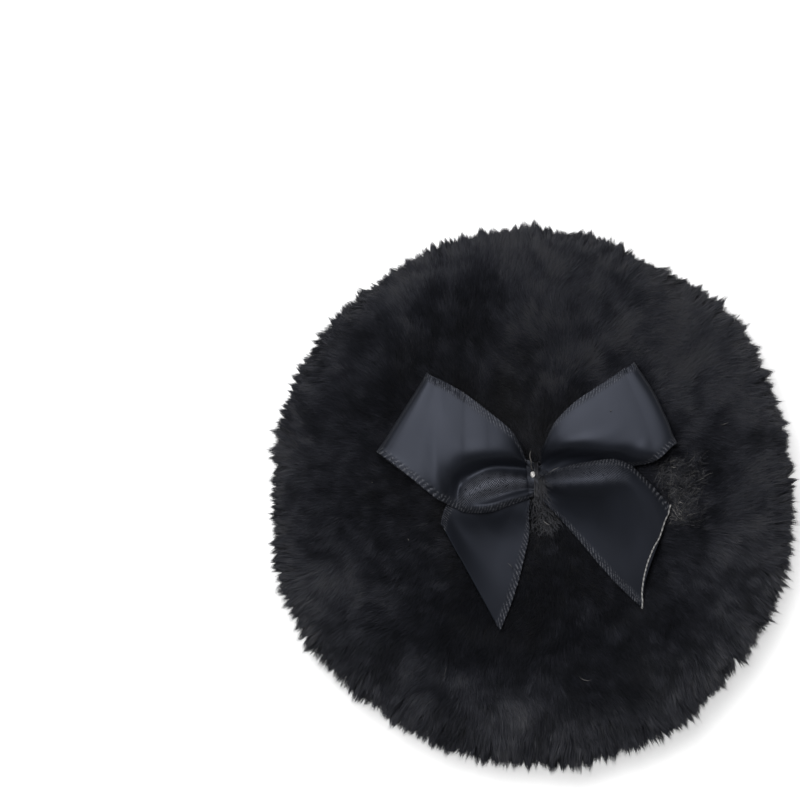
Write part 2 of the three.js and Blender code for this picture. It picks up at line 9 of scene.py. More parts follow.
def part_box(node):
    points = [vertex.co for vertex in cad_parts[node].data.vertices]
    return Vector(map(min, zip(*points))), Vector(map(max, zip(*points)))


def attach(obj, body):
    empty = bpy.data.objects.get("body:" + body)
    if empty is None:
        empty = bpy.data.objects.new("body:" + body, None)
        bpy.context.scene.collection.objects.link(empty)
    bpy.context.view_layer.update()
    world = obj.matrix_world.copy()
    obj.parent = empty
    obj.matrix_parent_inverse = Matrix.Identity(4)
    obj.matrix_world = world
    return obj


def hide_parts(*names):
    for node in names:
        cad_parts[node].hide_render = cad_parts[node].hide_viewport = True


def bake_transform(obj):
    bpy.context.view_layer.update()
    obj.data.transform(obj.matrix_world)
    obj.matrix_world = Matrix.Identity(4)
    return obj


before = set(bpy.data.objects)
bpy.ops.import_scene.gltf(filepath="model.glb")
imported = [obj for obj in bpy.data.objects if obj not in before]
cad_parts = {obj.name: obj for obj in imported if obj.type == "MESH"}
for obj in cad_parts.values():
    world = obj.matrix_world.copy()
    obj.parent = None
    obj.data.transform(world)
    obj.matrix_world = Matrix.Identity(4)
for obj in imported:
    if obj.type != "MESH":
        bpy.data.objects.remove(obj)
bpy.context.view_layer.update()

mm = 0.001
scene = bpy.context.scene
random = np.random.default_rng(16)

# The camera looks straight down, as the photograph does

view = {
    "aim": Vector((-22.7 * mm, 15.8 * mm, 20 * mm)),  # what the middle of the frame looks at
    "frameWidth": 136.2 * mm,
    "distance": 2.2,
    "sensor": 36,
}


def makeCamera():
    data = bpy.data.cameras.new("camera")
    data.sensor_width = view["sensor"]
    data.lens = view["sensor"] * view["distance"] / view["frameWidth"]
    data.clip_start = 0.1
    data.clip_end = 20
    camera = bpy.data.objects.new("camera", data)
    camera.location = view["aim"] + Vector((0, 0, view["distance"]))
    scene.collection.objects.link(camera)
    scene.camera = camera


makeCamera()
scene.view_settings.view_transform = "Standard"
print("camera: straight above the puff")


# Shader maths written as expressions

class Signal:
    def __init__(self, surface, socket):
        self.surface = surface
        self.socket = socket

    def maths(self, operation, first, second=None):
        inputs = {0: first} if second is None else {0: first, 1: second}
        return self.surface.make("ShaderNodeMath", {"operation": operation}, inputs)

    def __add__(self, other):
        return self.maths("ADD", self, other)

    def __radd__(self, other):
        return self.maths("ADD", other, self)

    def __sub__(self, other):
        return self.maths("SUBTRACT", self, other)

    def __rsub__(self, other):
        return self.maths("SUBTRACT", other, self)

    def __mul__(self, other):
        return self.maths("MULTIPLY", self, other)

    def __rmul__(self, other):
        return self.maths("MULTIPLY", other, self)

    def __pow__(self, other):
        return self.maths("POWER", self, other)

    def smaller(self, other):
        return self.maths("MINIMUM", self, other)

    def wave(self):
        return self.maths("SINE", self) * 0.5 + 0.5

    def between(self, low, high):  # 0 below low, 1 above high, smooth in between
        return self.surface.make(
            "ShaderNodeMapRange",
            {"interpolation_type": "SMOOTHSTEP"},
            {"Value": self, "From Min": low, "From Max": high},
        )


class Surface:
    def __init__(self, holder):  # a new material, or a new world
        self.holder = holder
        self.holder.use_nodes = True
        self.tree = self.holder.node_tree
        self.tree.nodes.clear()

    def make(self, kind, settings=None, inputs=None, outlet=0):
        node = self.tree.nodes.new(kind)
        for name, value in (settings or {}).items():
            if name == "stops":
                self.setStops(node.color_ramp, value)
            else:
                setattr(node, name, value)
        for name, value in (inputs or {}).items():
            if isinstance(value, Signal):
                self.tree.links.new(value.socket, node.inputs[name])
            else:
                node.inputs[name].default_value = value
        return Signal(self, node.outputs[outlet]) if len(node.outputs) else None

    def setStops(self, ramp, stops):
        while len(ramp.elements) < len(stops):
            ramp.elements.new(0.5)
        for element, (position, colour) in zip(ramp.elements, stops):
            element.position = position
            element.color = (*colour, 1)

    def place(self):
        return self.make("ShaderNodeTexCoord", outlet="Object")

    def layOf(self, name):  # a piece's own map, then its two directions
        lay = self.make("ShaderNodeUVMap", {"uv_map": name})
        return lay, *(self.make("ShaderNodeSeparateXYZ", {}, {0: lay}, axis) for axis in "XY")

    def mixed(self, share, first, second):  # of the node's sockets, 6 and 7 are colours, and so is outlet 2
        def full(value):
            return value if isinstance(value, Signal) else (*value, 1)
        return self.make(
            "ShaderNodeMix", {"data_type": "RGBA"}, {0: share, 6: full(first), 7: full(second)}, 2
        )

    def noise(self, where, size, detail=2):
        return self.make(
            "ShaderNodeTexNoise", {}, {"Vector": where, "Scale": 1 / size, "Detail": detail}
        )

    def bump(self, height, strength, distance):
        return self.make(
            "ShaderNodeBump", {}, {"Height": height, "Strength": strength, "Distance": distance}
        )

    def finish(self, shader):
        self.make("ShaderNodeOutputMaterial", {}, {"Surface": shader})
        return self.holder

    def principled(self, inputs):
        return self.finish(self.make("ShaderNodeBsdfPrincipled", {}, inputs))


# Smooth curves through a few points, and smooth noise

def smoothThrough(points, shares):
    # points is (count, columns, 3): one centripetal curve through each column
    points = np.asarray(points, float)
    before = 2 * points[0] - points[1]
    after = 2 * points[-1] - points[-2]
    knots = np.concatenate([before[None], points, after[None]])
    place = np.clip(np.asarray(shares, float), 0, 1) * (len(points) - 1)
    first = np.minimum(place.astype(int), len(points) - 2)
    along = (place - first)[:, None, None]
    p0, p1, p2, p3 = (knots[first + k] for k in range(4))

    def step(a, b):
        return np.maximum(np.linalg.norm(b - a, axis=2, keepdims=True), 1e-9) ** 0.5

    d0, d1, d2 = step(p0, p1), step(p1, p2), step(p2, p3)
    leave = ((p1 - p0) / d0 - (p2 - p0) / (d0 + d1) + (p2 - p1) / d1) * d1
    arrive = ((p2 - p1) / d1 - (p3 - p1) / (d1 + d2) + (p3 - p2) / d2) * d1
    square = -3 * p1 + 3 * p2 - 2 * leave - arrive
    cube = 2 * p1 - 2 * p2 + leave + arrive
    return p1 + leave * along + square * along ** 2 + cube * along ** 3


def eased(value, low, high):
    share = np.clip((value - low) / (high - low), 0, 1)
    return share * share * (3 - 2 * share)


def smoothNoise(x, y, size, seed):  # from -1 to 1, with bumps about this size
    lattice = np.random.default_rng(seed).uniform(-1, 1, (64, 64))
    u, v = x / size + 32, y / size + 32
    i, j = np.floor(u).astype(int), np.floor(v).astype(int)
    fx, fy = eased(u - i, 0, 1), eased(v - j, 0, 1)
    i, j, k, m = i % 64, j % 64, (i + 1) % 64, (j + 1) % 64
    near = lattice[i, j] * (1 - fx) + lattice[k, j] * fx
    far = lattice[i, m] * (1 - fx) + lattice[k, m] * fx
    return near * (1 - fy) + far * fy


def unit(vectors):
    return vectors / np.maximum(np.linalg.norm(vectors, axis=-1, keepdims=True), 1e-12)


def runningSum(steps):  # along each row, from 0
    return np.concatenate([np.zeros((len(steps), 1)), np.cumsum(steps, 1)], 1)


# The puff's shape, from the frame

pileLow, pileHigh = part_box("top_pile")
knotLow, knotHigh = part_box("anchor_knot")
upwards = np.array([0, 0, 1.0])
puff = {
    "radius": (pileHigh.x - pileLow.x) / 2,
    "seamHeight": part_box("bottom_pile")[1].z + 0.15 * mm,
    "pileRoundness": 2.6,
    "footRadius": 24 * mm,
    "footRoundness": 2.2,
    "padRadius": 38 * mm,
    "padRise": 7 * mm,
    "padRoundness": 2.4,
    "padDimple": 0.6,  # the share of the crown's dimple that the sewn pad has
    "depthInset": 0.2 * mm,  # the dense lower pile ends this far inside the middle of the pile
    "depthRoundness": 2.5,
    "depthDimple": 0.8,
    "fillingRadius": 31 * mm,
    "fillingRise": 5.6 * mm,
    "fillingRoundness": 2.6,
    "bumps": {"depth": 0.2 * mm, "pad": 0.1 * mm, "filling": 0.3 * mm},
    "dimpleDepth": 2.8 * mm,
    "dimpleReach": 7 * mm,
    "pileUnderBow": 1.2 * mm,
    "bowOffset": (knotLow.y + knotHigh.y) / 2,  # the bow and the sewn pad sit this far along Y
}


def dimple(radius):
    return puff["dimpleDepth"] * np.exp(-((radius / puff["dimpleReach"]) ** 2))


def domeShare(share, roundness):
    return np.maximum(1 - np.clip(share, 0, 1) ** roundness, 0) ** (1 / roundness)


def crownTop(radius):  # as if the bow didn't pull the middle down
    return puff["seamHeight"] * (1 + domeShare(radius / puff["radius"], puff["pileRoundness"]))


def pileTop(radius):
    return crownTop(radius) - dimple(radius)


# Ribbon stretches, as shares of the ribbon's width from the tacked centre: right, towards the
# loops, and up from the level at which ribbon would lie on the crown. Each rib crosses the ribbon.

ribbon = {
    "width": 16 * mm,
    "thickness": 0.3 * mm,
    "seatGap": 0.5 * mm,
    "cadThickness": 0.45 * mm,
    "cell": 0.55 * mm,  # the mesh's own spacing in the middle
    "fineCell": 0.16 * mm,  # and along the ribbon and near its edges
    "selvedgeBand": 1.5 * mm,
    "selvedgePitch": 0.62 * mm,
    "selvedgeRise": 0.08 * mm,
}


def evenRib(first, last, count):
    return [tuple(np.array(first) * (1 - t) + np.array(last) * t) for t in np.linspace(0, 1, count)]


def squareRib(x, *places):  # square to the X axis, through places that give Y and Z
    return [(x, y, z) for y, z in places]


# From the upper selvedge over the flat part, down into the crease, over the roll and the
# groove to the lower selvedge
leftLoopRibs = [
    [(-0.09, 0.235, 0.04), (-0.088, 0.215, 0.03), (-0.085, 0.19, 0), (-0.083, 0.16, -0.06),
     (-0.08, 0.12, -0.1), (-0.075, 0.06, -0.06), (-0.07, -0.01, 0.03), (-0.06, -0.09, -0.05),
     (-0.055, -0.14, -0.01), (-0.05, -0.19, -0.06)],
    [(-0.24, 0.52, 0.2), (-0.237, 0.38, 0.21), (-0.235, 0.28, 0.195), (-0.235, 0.21, 0.08),
     (-0.235, 0.14, -0.06), (-0.235, 0.075, -0.02), (-0.235, 0, 0.1), (-0.235, -0.12, 0),
     (-0.235, -0.19, 0.05), (-0.235, -0.26, -0.01)],
    [(-0.5, 0.745, 0.25), (-0.49, 0.42, 0.258), (-0.485, 0.285, 0.255), (-0.485, 0.21, 0.16),
     (-0.485, 0.135, 0), (-0.485, 0.065, 0.05), (-0.485, -0.04, 0.19), (-0.485, -0.185, 0.05),
     (-0.485, -0.265, 0.1), (-0.485, -0.335, 0.02)],
    squareRib(-0.73, (0.92, 0.268), (0.45, 0.272), (0.25, 0.266), (0.14, 0.17), (0.03, 0.04),
              (-0.06, 0.08), (-0.15, 0.16), (-0.22, 0.13), (-0.28, 0.1), (-0.338, 0.03)),
    [(-0.775, 0.948, 0.273), (-0.785, 0.5, 0.277), (-0.79, 0.25, 0.274), (-0.795, 0.13, 0.21),
     (-0.8, 0.025, 0.1), (-0.8, -0.055, 0.07), (-0.805, -0.13, 0.08), (-0.805, -0.19, 0.08),
     (-0.81, -0.25, 0.06), (-0.81, -0.305, 0.03)],
    [(-0.85, 0.99, 0.28), (-0.87, 0.55, 0.284), (-0.88, 0.25, 0.282), (-0.885, 0.12, 0.255),
     (-0.89, 0.02, 0.2), (-0.895, -0.05, 0.165), (-0.9, -0.11, 0.15), (-0.9, -0.165, 0.14),
     (-0.905, -0.215, 0.12), (-0.91, -0.255, 0.09)],
    [(-0.92, 1.03, 0.285), (-0.95, 0.7, 0.288), (-0.975, 0.38, 0.288), (-0.985, 0.2, 0.285),
     (-0.99, 0.08, 0.275), (-1, 0.01, 0.27), (-1.005, -0.05, 0.265), (-1.015, -0.1, 0.26),
     (-1.02, -0.15, 0.245), (-1.03, -0.195, 0.22)],
    evenRib((-1.01, 1.075, 0.295), (-1.3, 0.02, 0.275), 10),
    evenRib((-1.09, 1.11, 0.3), (-1.575, 0.235, 0.275), 10),
    evenRib((-1.115, 1.125, 0.277), (-1.635, 0.28, 0.25), 10),
    evenRib((-1.12, 1.13, 0.15), (-1.65, 0.29, 0.15), 10),
    evenRib((-1.05, 1.07, 0), (-1.4, 0.1, 0), 10),
    evenRib((-0.88, 0.96, 0), (-0.94, -0.08, 0), 10),
    evenRib((-0.52, 0.7, 0), (-0.52, -0.24, -0.01), 10),
    evenRib((-0.09, 0.2, -0.16), (-0.065, -0.16, -0.16), 10),
]

# From the upper selvedge over the flat part and down the rolled lower side, which goes under
# the right tail
rightLoopRibs = [
    squareRib(0.085, (0.3, 0), (0.28, 0), (0.25, -0.01), (0.22, -0.04),
              (0.17, -0.09), (0.12, -0.1), (0.07, -0.11), (0.01, -0.11)),
    [(0.13, 0.41, 0.14), (0.132, 0.37, 0.15), (0.134, 0.33, 0.13), (0.135, 0.28, 0.06),
     (0.135, 0.2, -0.06), (0.135, 0.13, -0.1), (0.135, 0.07, -0.11), (0.135, 0.01, -0.11)],
    [(0.215, 0.6, 0.205), (0.23, 0.51, 0.215), (0.25, 0.43, 0.215), (0.27, 0.36, 0.195),
     (0.29, 0.28, 0.06), (0.3, 0.21, -0.03), (0.31, 0.15, -0.05), (0.32, 0.09, -0.07)],
    [(0.42, 0.82, 0.25), (0.45, 0.66, 0.258), (0.48, 0.5, 0.258), (0.51, 0.4, 0.257),
     (0.54, 0.325, 0.19), (0.56, 0.25, 0.04), (0.58, 0.19, -0.02), (0.6, 0.14, -0.03)],
    [(0.68, 1, 0.272), (0.72, 0.8, 0.275), (0.76, 0.6, 0.276), (0.8, 0.43, 0.276),
     (0.835, 0.34, 0.25), (0.865, 0.26, 0.12), (0.895, 0.19, 0.02), (0.93, 0.14, 0)],
    [(0.86, 1.12, 0.283), (0.92, 0.93, 0.286), (0.98, 0.75, 0.286), (1.04, 0.56, 0.286),
     (1.09, 0.41, 0.285), (1.13, 0.31, 0.278), (1.165, 0.25, 0.24), (1.2, 0.18, 0.11)],
    [(0.94, 1.175, 0.286), (1.01, 1.01, 0.288), (1.08, 0.85, 0.289), (1.15, 0.69, 0.289),
     (1.21, 0.53, 0.289), (1.26, 0.4, 0.288), (1.3, 0.31, 0.283), (1.335, 0.235, 0.265)],
    [(1.02, 1.215, 0.286), (1.11, 1.07, 0.288), (1.2, 0.93, 0.289), (1.27, 0.8, 0.289),
     (1.33, 0.67, 0.288), (1.38, 0.555, 0.285), (1.42, 0.445, 0.28), (1.455, 0.35, 0.265)],
    [(1.045, 1.235, 0.262), (1.142, 1.095, 0.265), (1.232, 0.955, 0.265), (1.302, 0.825, 0.265),
     (1.362, 0.695, 0.265), (1.412, 0.585, 0.262), (1.452, 0.475, 0.255), (1.492, 0.38, 0.24)],
    [(1.05, 1.24, 0.15), (1.15, 1.1, 0.15), (1.24, 0.96, 0.15), (1.31, 0.83, 0.15),
     (1.37, 0.7, 0.15), (1.42, 0.59, 0.15), (1.46, 0.48, 0.15), (1.5, 0.385, 0.14)],
    [(0.98, 1.16, 0), (1.06, 1.01, 0), (1.13, 0.87, 0), (1.2, 0.73, 0),
     (1.26, 0.6, 0), (1.3, 0.48, 0), (1.34, 0.38, 0), (1.36, 0.29, 0)],
    evenRib((0.72, 0.98, 0), (0.94, 0.23, 0), 8),
    evenRib((0.36, 0.68, -0.01), (0.54, 0.18, -0.06), 8),
    evenRib((0.145, 0.32, -0.14), (0.14, 0.05, -0.16), 8),
]

# From the left selvedge to the right one; it comes out from under the loop and falls away
leftTailRibs = [
    [(-0.09, -0.02, -0.13), (-0.08, -0.06, -0.13), (-0.07, -0.09, -0.13), (-0.06, -0.12, -0.13),
     (-0.05, -0.15, -0.13), (-0.04, -0.18, -0.13)],
    [(-0.3, -0.06, -0.08), (-0.25, -0.13, -0.08), (-0.2, -0.2, -0.09), (-0.15, -0.26, -0.1),
     (-0.1, -0.31, -0.12), (-0.05, -0.36, -0.14)],
    [(-0.62, -0.1, -0.05), (-0.5, -0.22, -0.045), (-0.38, -0.33, -0.05), (-0.26, -0.42, -0.125),
     (-0.15, -0.5, -0.165), (-0.045, -0.56, -0.18)],
    [(-0.85, -0.18, -0.03), (-0.69, -0.34, -0.03), (-0.53, -0.49, -0.12), (-0.38, -0.63, -0.165),
     (-0.235, -0.75, -0.18), (-0.1, -0.84, -0.19)],
    [(-0.945, -0.31, 0.02), (-0.79, -0.51, -0.075), (-0.64, -0.71, -0.13), (-0.49, -0.9, -0.165),
     (-0.34, -1.08, -0.185), (-0.205, -1.23, -0.2)],
    [(-0.985, -0.455, 0.05), (-0.86, -0.69, -0.005), (-0.73, -0.92, -0.055), (-0.605, -1.15, -0.105),
     (-0.48, -1.38, -0.15), (-0.355, -1.61, -0.19)],
]

# From the upper selvedge over the roll and down to the flat part and the lower selvedge
rightTailRibs = [
    squareRib(0.06, (0.05, -0.06), (0.03, -0.03), (0, 0), (-0.03, 0.01),
              (-0.06, -0.03), (-0.09, -0.08), (-0.12, -0.1), (-0.16, -0.12)),
    [(0.17, 0.07, -0.03), (0.17, 0.045, 0.02), (0.17, 0, 0.07), (0.17, -0.05, 0.07),
     (0.17, -0.09, 0.01), (0.17, -0.135, -0.04), (0.165, -0.2, -0.06), (0.16, -0.28, -0.08)],
    [(0.37, 0.14, 0), (0.37, 0.1, 0.07), (0.37, 0.03, 0.14), (0.37, -0.04, 0.15),
     (0.365, -0.1, 0.09), (0.36, -0.175, 0.01), (0.34, -0.3, -0.07), (0.31, -0.44, -0.12)],
    [(0.65, 0.205, 0.05), (0.66, 0.15, 0.12), (0.67, 0.06, 0.185), (0.67, -0.03, 0.195),
     (0.66, -0.11, 0.14), (0.64, -0.2, 0.06), (0.6, -0.43, -0.06), (0.55, -0.72, -0.13)],
    [(0.94, 0.205, 0.07), (0.955, 0.145, 0.12), (0.965, 0.07, 0.16), (0.97, -0.01, 0.165),
     (0.965, -0.09, 0.13), (0.95, -0.22, 0.08), (0.9, -0.6, -0.05), (0.83, -1.05, -0.13)],
    [(1.19, 0.01, 0.03), (1.205, -0.06, 0.07), (1.21, -0.14, 0.08), (1.2, -0.23, 0.075),
     (1.19, -0.34, 0.06), (1.16, -0.52, 0.02), (1.09, -0.84, -0.05), (1, -1.22, -0.12)],
    [(1.445, -0.27, -0.03), (1.42, -0.36, -0.01), (1.39, -0.46, 0), (1.36, -0.57, 0),
     (1.32, -0.68, -0.015), (1.26, -0.84, -0.035), (1.19, -1.06, -0.07), (1.15, -1.35, -0.12)],
]


def bowPoints(shares):
    shares = np.asarray(shares, float)
    x = shares[..., 0] * ribbon["width"]
    y = shares[..., 1] * ribbon["width"]
    seat = crownTop(np.hypot(x, y)) + ribbon["seatGap"] + ribbon["cadThickness"] / 2
    return np.stack([x, y + puff["bowOffset"], seat + shares[..., 2] * ribbon["width"]], -1)


def acrossShares():  # closer together near both selvedges
    edge = np.arange(0, ribbon["selvedgeBand"], ribbon["fineCell"]) / ribbon["width"]
    count = round((0.5 - edge[-1]) * ribbon["width"] / ribbon["cell"])
    half = np.concatenate([edge, np.linspace(edge[-1], 0.5, count + 1)[1:]])
    return np.concatenate([half, 1 - half[-2::-1]])


def loft(ribs, alongCount, across):
    crossings = np.concatenate([
        smoothThrough(bowPoints(rib)[:, None], across).transpose(1, 0, 2) for rib in ribs
    ])
    return smoothThrough(crossings, np.linspace(0, 1, alongCount + 1))


def evenAcross(grid, across):  # the same surface with its columns at true distances
    steps = np.linalg.norm(np.diff(grid, axis=1), axis=2)
    reach = runningSum(steps)
    return np.array([
        np.column_stack([np.interp(across, far / far[-1], line) for line in row.T])
        for far, row in zip(reach, grid)
    ])


def fineLoft(ribs, across):
    rough = loft(ribs, 60, np.linspace(0, 1, 9))  # only to measure its length
    fine = loft(ribs, round(middleLength(rough) / ribbon["fineCell"]), np.linspace(0, 1, 241))
    return evenAcross(fine, across)


def crossed(grid):  # down the rows crossed with across
    return np.cross(np.gradient(grid, axis=0), np.gradient(grid, axis=1))


def crossesUp(grid):  # whether that points up where the ribbon starts
    return crossed(grid)[len(grid) // 6, grid.shape[1] // 2, 2] > 0


def outward(grid):  # the way out of the satin side at each point
    return unit(crossed(grid)) * (1 if crossesUp(grid) else -1)


def alongSheet(grid):  # distance along the ribbon of each row
    line = grid[:, grid.shape[1] // 2]
    return runningSum(np.linalg.norm(np.diff(line, axis=0), axis=1)[None])[0]


def middleLength(grid):
    return float(alongSheet(grid)[-1])


stretches = {
    "left_loop": leftLoopRibs,
    "right_loop": rightLoopRibs,
    "left_tail": leftTailRibs,
    "right_tail": rightTailRibs,
}
lofts = {name: fineLoft(ribs, acrossShares()) for name, ribs in stretches.items()}
print("ribbon: lofted", ", ".join(f"{name} {middleLength(g) / mm:.1f} mm" for name, g in lofts.items()))


# Materials

def plushMaterial(name, shades, rootPaintedShade, roughness):
    # Each strand's own map holds its tint across and its place from root to tip along
    surface = Surface(bpy.data.materials.new(name))
    _, tint, along = surface.layOf("OFBake")
    colour = surface.make("ShaderNodeValToRGB", {"stops": shades}, {0: tint})
    # darker towards the root: painted shade of the pile's depth
    colour = surface.mixed(along.between(0.1, 0.85), rootPaintedShade, colour)
    return surface.principled({
        "Base Color": colour, "Roughness": roughness, "Specular IOR Level": 0.3,
        "Sheen Weight": 0.06, "Sheen Roughness": 0.5,
    })


def clothMaterial(name, dark, light, size, roughness):
    surface = Surface(bpy.data.materials.new(name))
    grain = surface.noise(surface.place(), size, 4)
    return surface.principled({
        "Base Color": surface.mixed(grain.between(0.35, 0.7), dark, light),
        "Roughness": roughness,
        "Normal": surface.bump(grain, 0.6, size * 0.4),
    })


def satinMaterial(name, finish):
    # The map runs across the ribbon from 0 to 1, and along it in ribbon widths
    surface = Surface(bpy.data.materials.new(name))
    lay, across, along = surface.layOf("ribbonLay")
    woven = surface.make("ShaderNodeAttribute", {"attribute_name": "wovenShow"}, outlet="Fac")
    widthMm = ribbon["width"] / mm
    turn = 2 * math.pi
    fromEdge = across.smaller(1 - across) * widthMm
    alongMm, acrossMm = along * widthMm, across * widthMm
    cloud = surface.noise(lay, 0.4, 3)
    speckle = surface.noise(lay, 0.016, 2)
    patchy = surface.noise(lay, 0.07, 2)
    band = 1 - fromEdge.between(0.7, ribbon["selvedgeBand"] / mm)
    slant = (alongMm + fromEdge * 0.5 + patchy * 0.5) * (turn * mm / ribbon["selvedgePitch"])
    # slanted stitches along the selvedges, in relief, with their light colour painted as glints
    stitchAndGlint = slant.wave() ** 2 * band * speckle.between(0.36, 0.6)
    hatch = (
        ((alongMm * 0.7 + acrossMm) * (turn / 0.34) + patchy * 7).wave()
        * ((alongMm * 0.9 - acrossMm) * (turn / 0.37) - patchy * 6).wave()
    )
    broken = surface.noise(lay, 0.028, 2).between(0.28, 0.5)
    # flecks of the weave where the woven ground shows, in relief, with their light colour painted as glints
    # of the lit rolls
    fleckGlint = (hatch * broken * (speckle + 0.6)).between(0.08, 0.34) * (woven + finish["weave"]).smaller(1)
    colour = surface.mixed(cloud.between(0.3, 0.75), finish["dark"], finish["light"])
    colour = surface.mixed((band * 0.6 + woven * 0.7).smaller(1), colour, finish["gap"])
    colour = surface.mixed(stitchAndGlint * finish["selvedgeGlintShare"], colour, finish["selvedge"])
    colour = surface.mixed(fleckGlint, colour, finish["fleckGlint"])
    height = stitchAndGlint * 0.6 + fleckGlint + speckle * 0.12
    return surface.principled({
        "Base Color": colour,
        "Roughness": cloud * 0.08 + band * 0.1 + woven * 0.15 + finish["roughness"],
        "Specular IOR Level": finish["shine"],
        "Specular Tint": (0.74, 0.8, 1, 1),
        "Normal": surface.bump(height, 0.4, 0.07 * mm),
    })


def threadMaterial(name, dark, light, pitch, roughness):
    surface = Surface(bpy.data.materials.new(name))
    twist = surface.make(
        "ShaderNodeTexWave", {"bands_direction": "DIAGONAL"},
        {"Vector": surface.place(), "Scale": 0.16 / pitch, "Distortion": 1.5},
    )
    return surface.principled({
        "Base Color": surface.mixed(twist, dark, light),
        "Roughness": roughness,
        "Normal": surface.bump(twist, 0.5, 0.06 * mm),
    })


satinFace = {
    "dark": (0.0058, 0.0067, 0.0092),
    "light": (0.0078, 0.009, 0.0128),
    "gap": (0.0055, 0.0062, 0.0085),  # between the stitches and the flecks
    # the light colour of the selvedge stitches is painted glint
    "selvedge": (0.115, 0.118, 0.13),
    "selvedgeGlintShare": 0.85,
    # the flecks' light colour is painted glint of the weave
    "fleckGlint": (0.14, 0.146, 0.172),
    "weave": 0,
    "roughness": 0.48,
    "shine": 0.43,
}
tailShadedFace = {**satinFace, "shine": 0.31}  # a duller copy of the satin that renders the tails darker: painted shade
satinBack = {
    **satinFace,
    "dark": (0.011, 0.012, 0.016),
    "light": (0.018, 0.019, 0.025),
    # weaker painted glints of the weave on the back
    "fleckGlint": (0.05, 0.052, 0.06),
    "weave": 0.5,
    "roughness": 0.62,
    "shine": 0.3,
}

materials = {
    "plush": plushMaterial(
        "black plush pile",
        [(0, (0.002, 0.0027, 0.0056)), (0.3, (0.0068, 0.0079, 0.0125)), (0.6, (0.0163, 0.0175, 0.0248)),
         (0.88, (0.041, 0.043, 0.054)), (0.94, (0.06, 0.058, 0.058)), (1, (0.42, 0.4, 0.38))],
        (0.0022, 0.0025, 0.0036), 0.62,
    ),
    "pileDepth": clothMaterial(
        "shaded depth of the pile", (0.002, 0.0022, 0.003), (0.006, 0.0063, 0.008), 0.5 * mm, 0.9
    ),
    "knit": clothMaterial(
        "black knitted ground cloth", (0.008, 0.008, 0.01), (0.02, 0.02, 0.023), 0.6 * mm, 0.9
    ),
    "fibre": clothMaterial(
        "off-white polyester fibre", (0.7, 0.67, 0.6), (0.86, 0.84, 0.79), 1.5 * mm, 0.95
    ),
    "satin": satinMaterial("black ribbon satin", satinFace),
    "tailShadedSatin": satinMaterial("duller satin that paints the tails' shade", tailShadedFace),
    "satinBack": satinMaterial("matte back of the ribbon", satinBack),
    "thread": threadMaterial(
        "black sewing thread", (0.01, 0.01, 0.013), (0.03, 0.03, 0.036), 0.35 * mm, 0.6
    ),
    "pale": threadMaterial(
        "pale thread", (0.5, 0.49, 0.48), (0.82, 0.8, 0.78), 0.3 * mm, 0.5
    ),
    "looseThread": threadMaterial(
        "greyed loose thread", (0.12, 0.118, 0.118), (0.34, 0.335, 0.33), 0.3 * mm, 0.55
    ),
    "endThread": threadMaterial(
        "dark end of the knot's thread", (0.03, 0.028, 0.027), (0.075, 0.07, 0.067), 0.3 * mm, 0.6
    ),
}
print("materials: made", len(materials))


# Meshes

def addPiece(name, mesh, body, slot, *surfaces):
    for surface in surfaces:
        mesh.materials.append(materials[surface])
    piece = bpy.data.objects.new(name, mesh)
    scene.collection.objects.link(piece)
    if body:
        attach(piece, body)
    return piece


def meshFrom(bm, name):
    mesh = bpy.data.meshes.new(name)
    bm.to_mesh(mesh)
    bm.free()
    mesh.shade_smooth()
    return mesh


def strandMesh(name, lines, widths, sides, tints):
    # lines is (strands, points, 3): each strand is a blade that ends in a point
    strands, points = lines.shape[:2]
    half = np.asarray(widths)[None, :, None] / 2
    rims = np.stack([lines[:, :-1] - sides * half[:, :-1], lines[:, :-1] + sides * half[:, :-1]], 2)
    perStrand = 2 * (points - 1) + 1
    vertices = np.concatenate([rims.reshape(strands, -1, 3), lines[:, -1:]], 1)
    ladder = np.array([
        [2 * k, 2 * k + 1, 2 * k + 3, 2 * k + 2] for k in range(points - 2)
    ]).ravel()
    tip = np.array([perStrand - 3, perStrand - 2, perStrand - 1])
    pattern = np.concatenate([ladder, tip])
    corners = (np.arange(strands)[:, None] * perStrand + pattern).ravel()
    starts = np.concatenate([np.arange(points - 2) * 4, [4 * (points - 2)]])
    faceStarts = (np.arange(strands)[:, None] * len(pattern) + starts).ravel()
    mesh = bpy.data.meshes.new(name)
    mesh.vertices.add(strands * perStrand)
    mesh.vertices.foreach_set("co", vertices.astype(np.float32).ravel())
    mesh.loops.add(len(corners))
    mesh.loops.foreach_set("vertex_index", corners.astype(np.int32))
    mesh.polygons.add(len(faceStarts))
    mesh.polygons.foreach_set("loop_start", faceStarts.astype(np.int32))
    mesh.update(calc_edges=True)
    mesh.shade_smooth()
    # The map that the plush material reads, narrow across but not flat, so that it can be baked
    rise = np.linspace(0.02, 0.98, points)
    across = np.tile([-0.004, 0.004], points - 1)
    tints = np.clip(tints, 0.01, 0.99)
    u = np.concatenate([tints[:, None] + across, tints[:, None]], 1)
    v = np.tile(np.concatenate([np.repeat(rise[:-1], 2), rise[-1:]]), (strands, 1))
    at = np.stack([u, v], -1).reshape(-1, 2)[corners]
    mesh.uv_layers.new(name="OFBake").uv.foreach_set("vector", at.astype(np.float32).ravel())
    return mesh


# Heights of the ribbon's underside and top, for the fur pressed under the bow and the fluff on it

heights = {
    "reach": 36 * mm,  # the table goes this far from the middle each way
    "cell": 0.4 * mm,
    "gap": 0.12 * mm,  # between the ribbon and the fur
    "swing": math.radians(12),  # the fur leaves room for the bow's turn to either side
    "swingSteps": 13,
    "flatCells": 2,  # that room is this much wider than the swing
    "sideCells": 9,
    "sideRise": 0.3 * mm,  # how much higher the fur stands in each further cell
    "coarseCells": 5,  # how far the coarse mesh of the lower pile looks for the lowest level
}


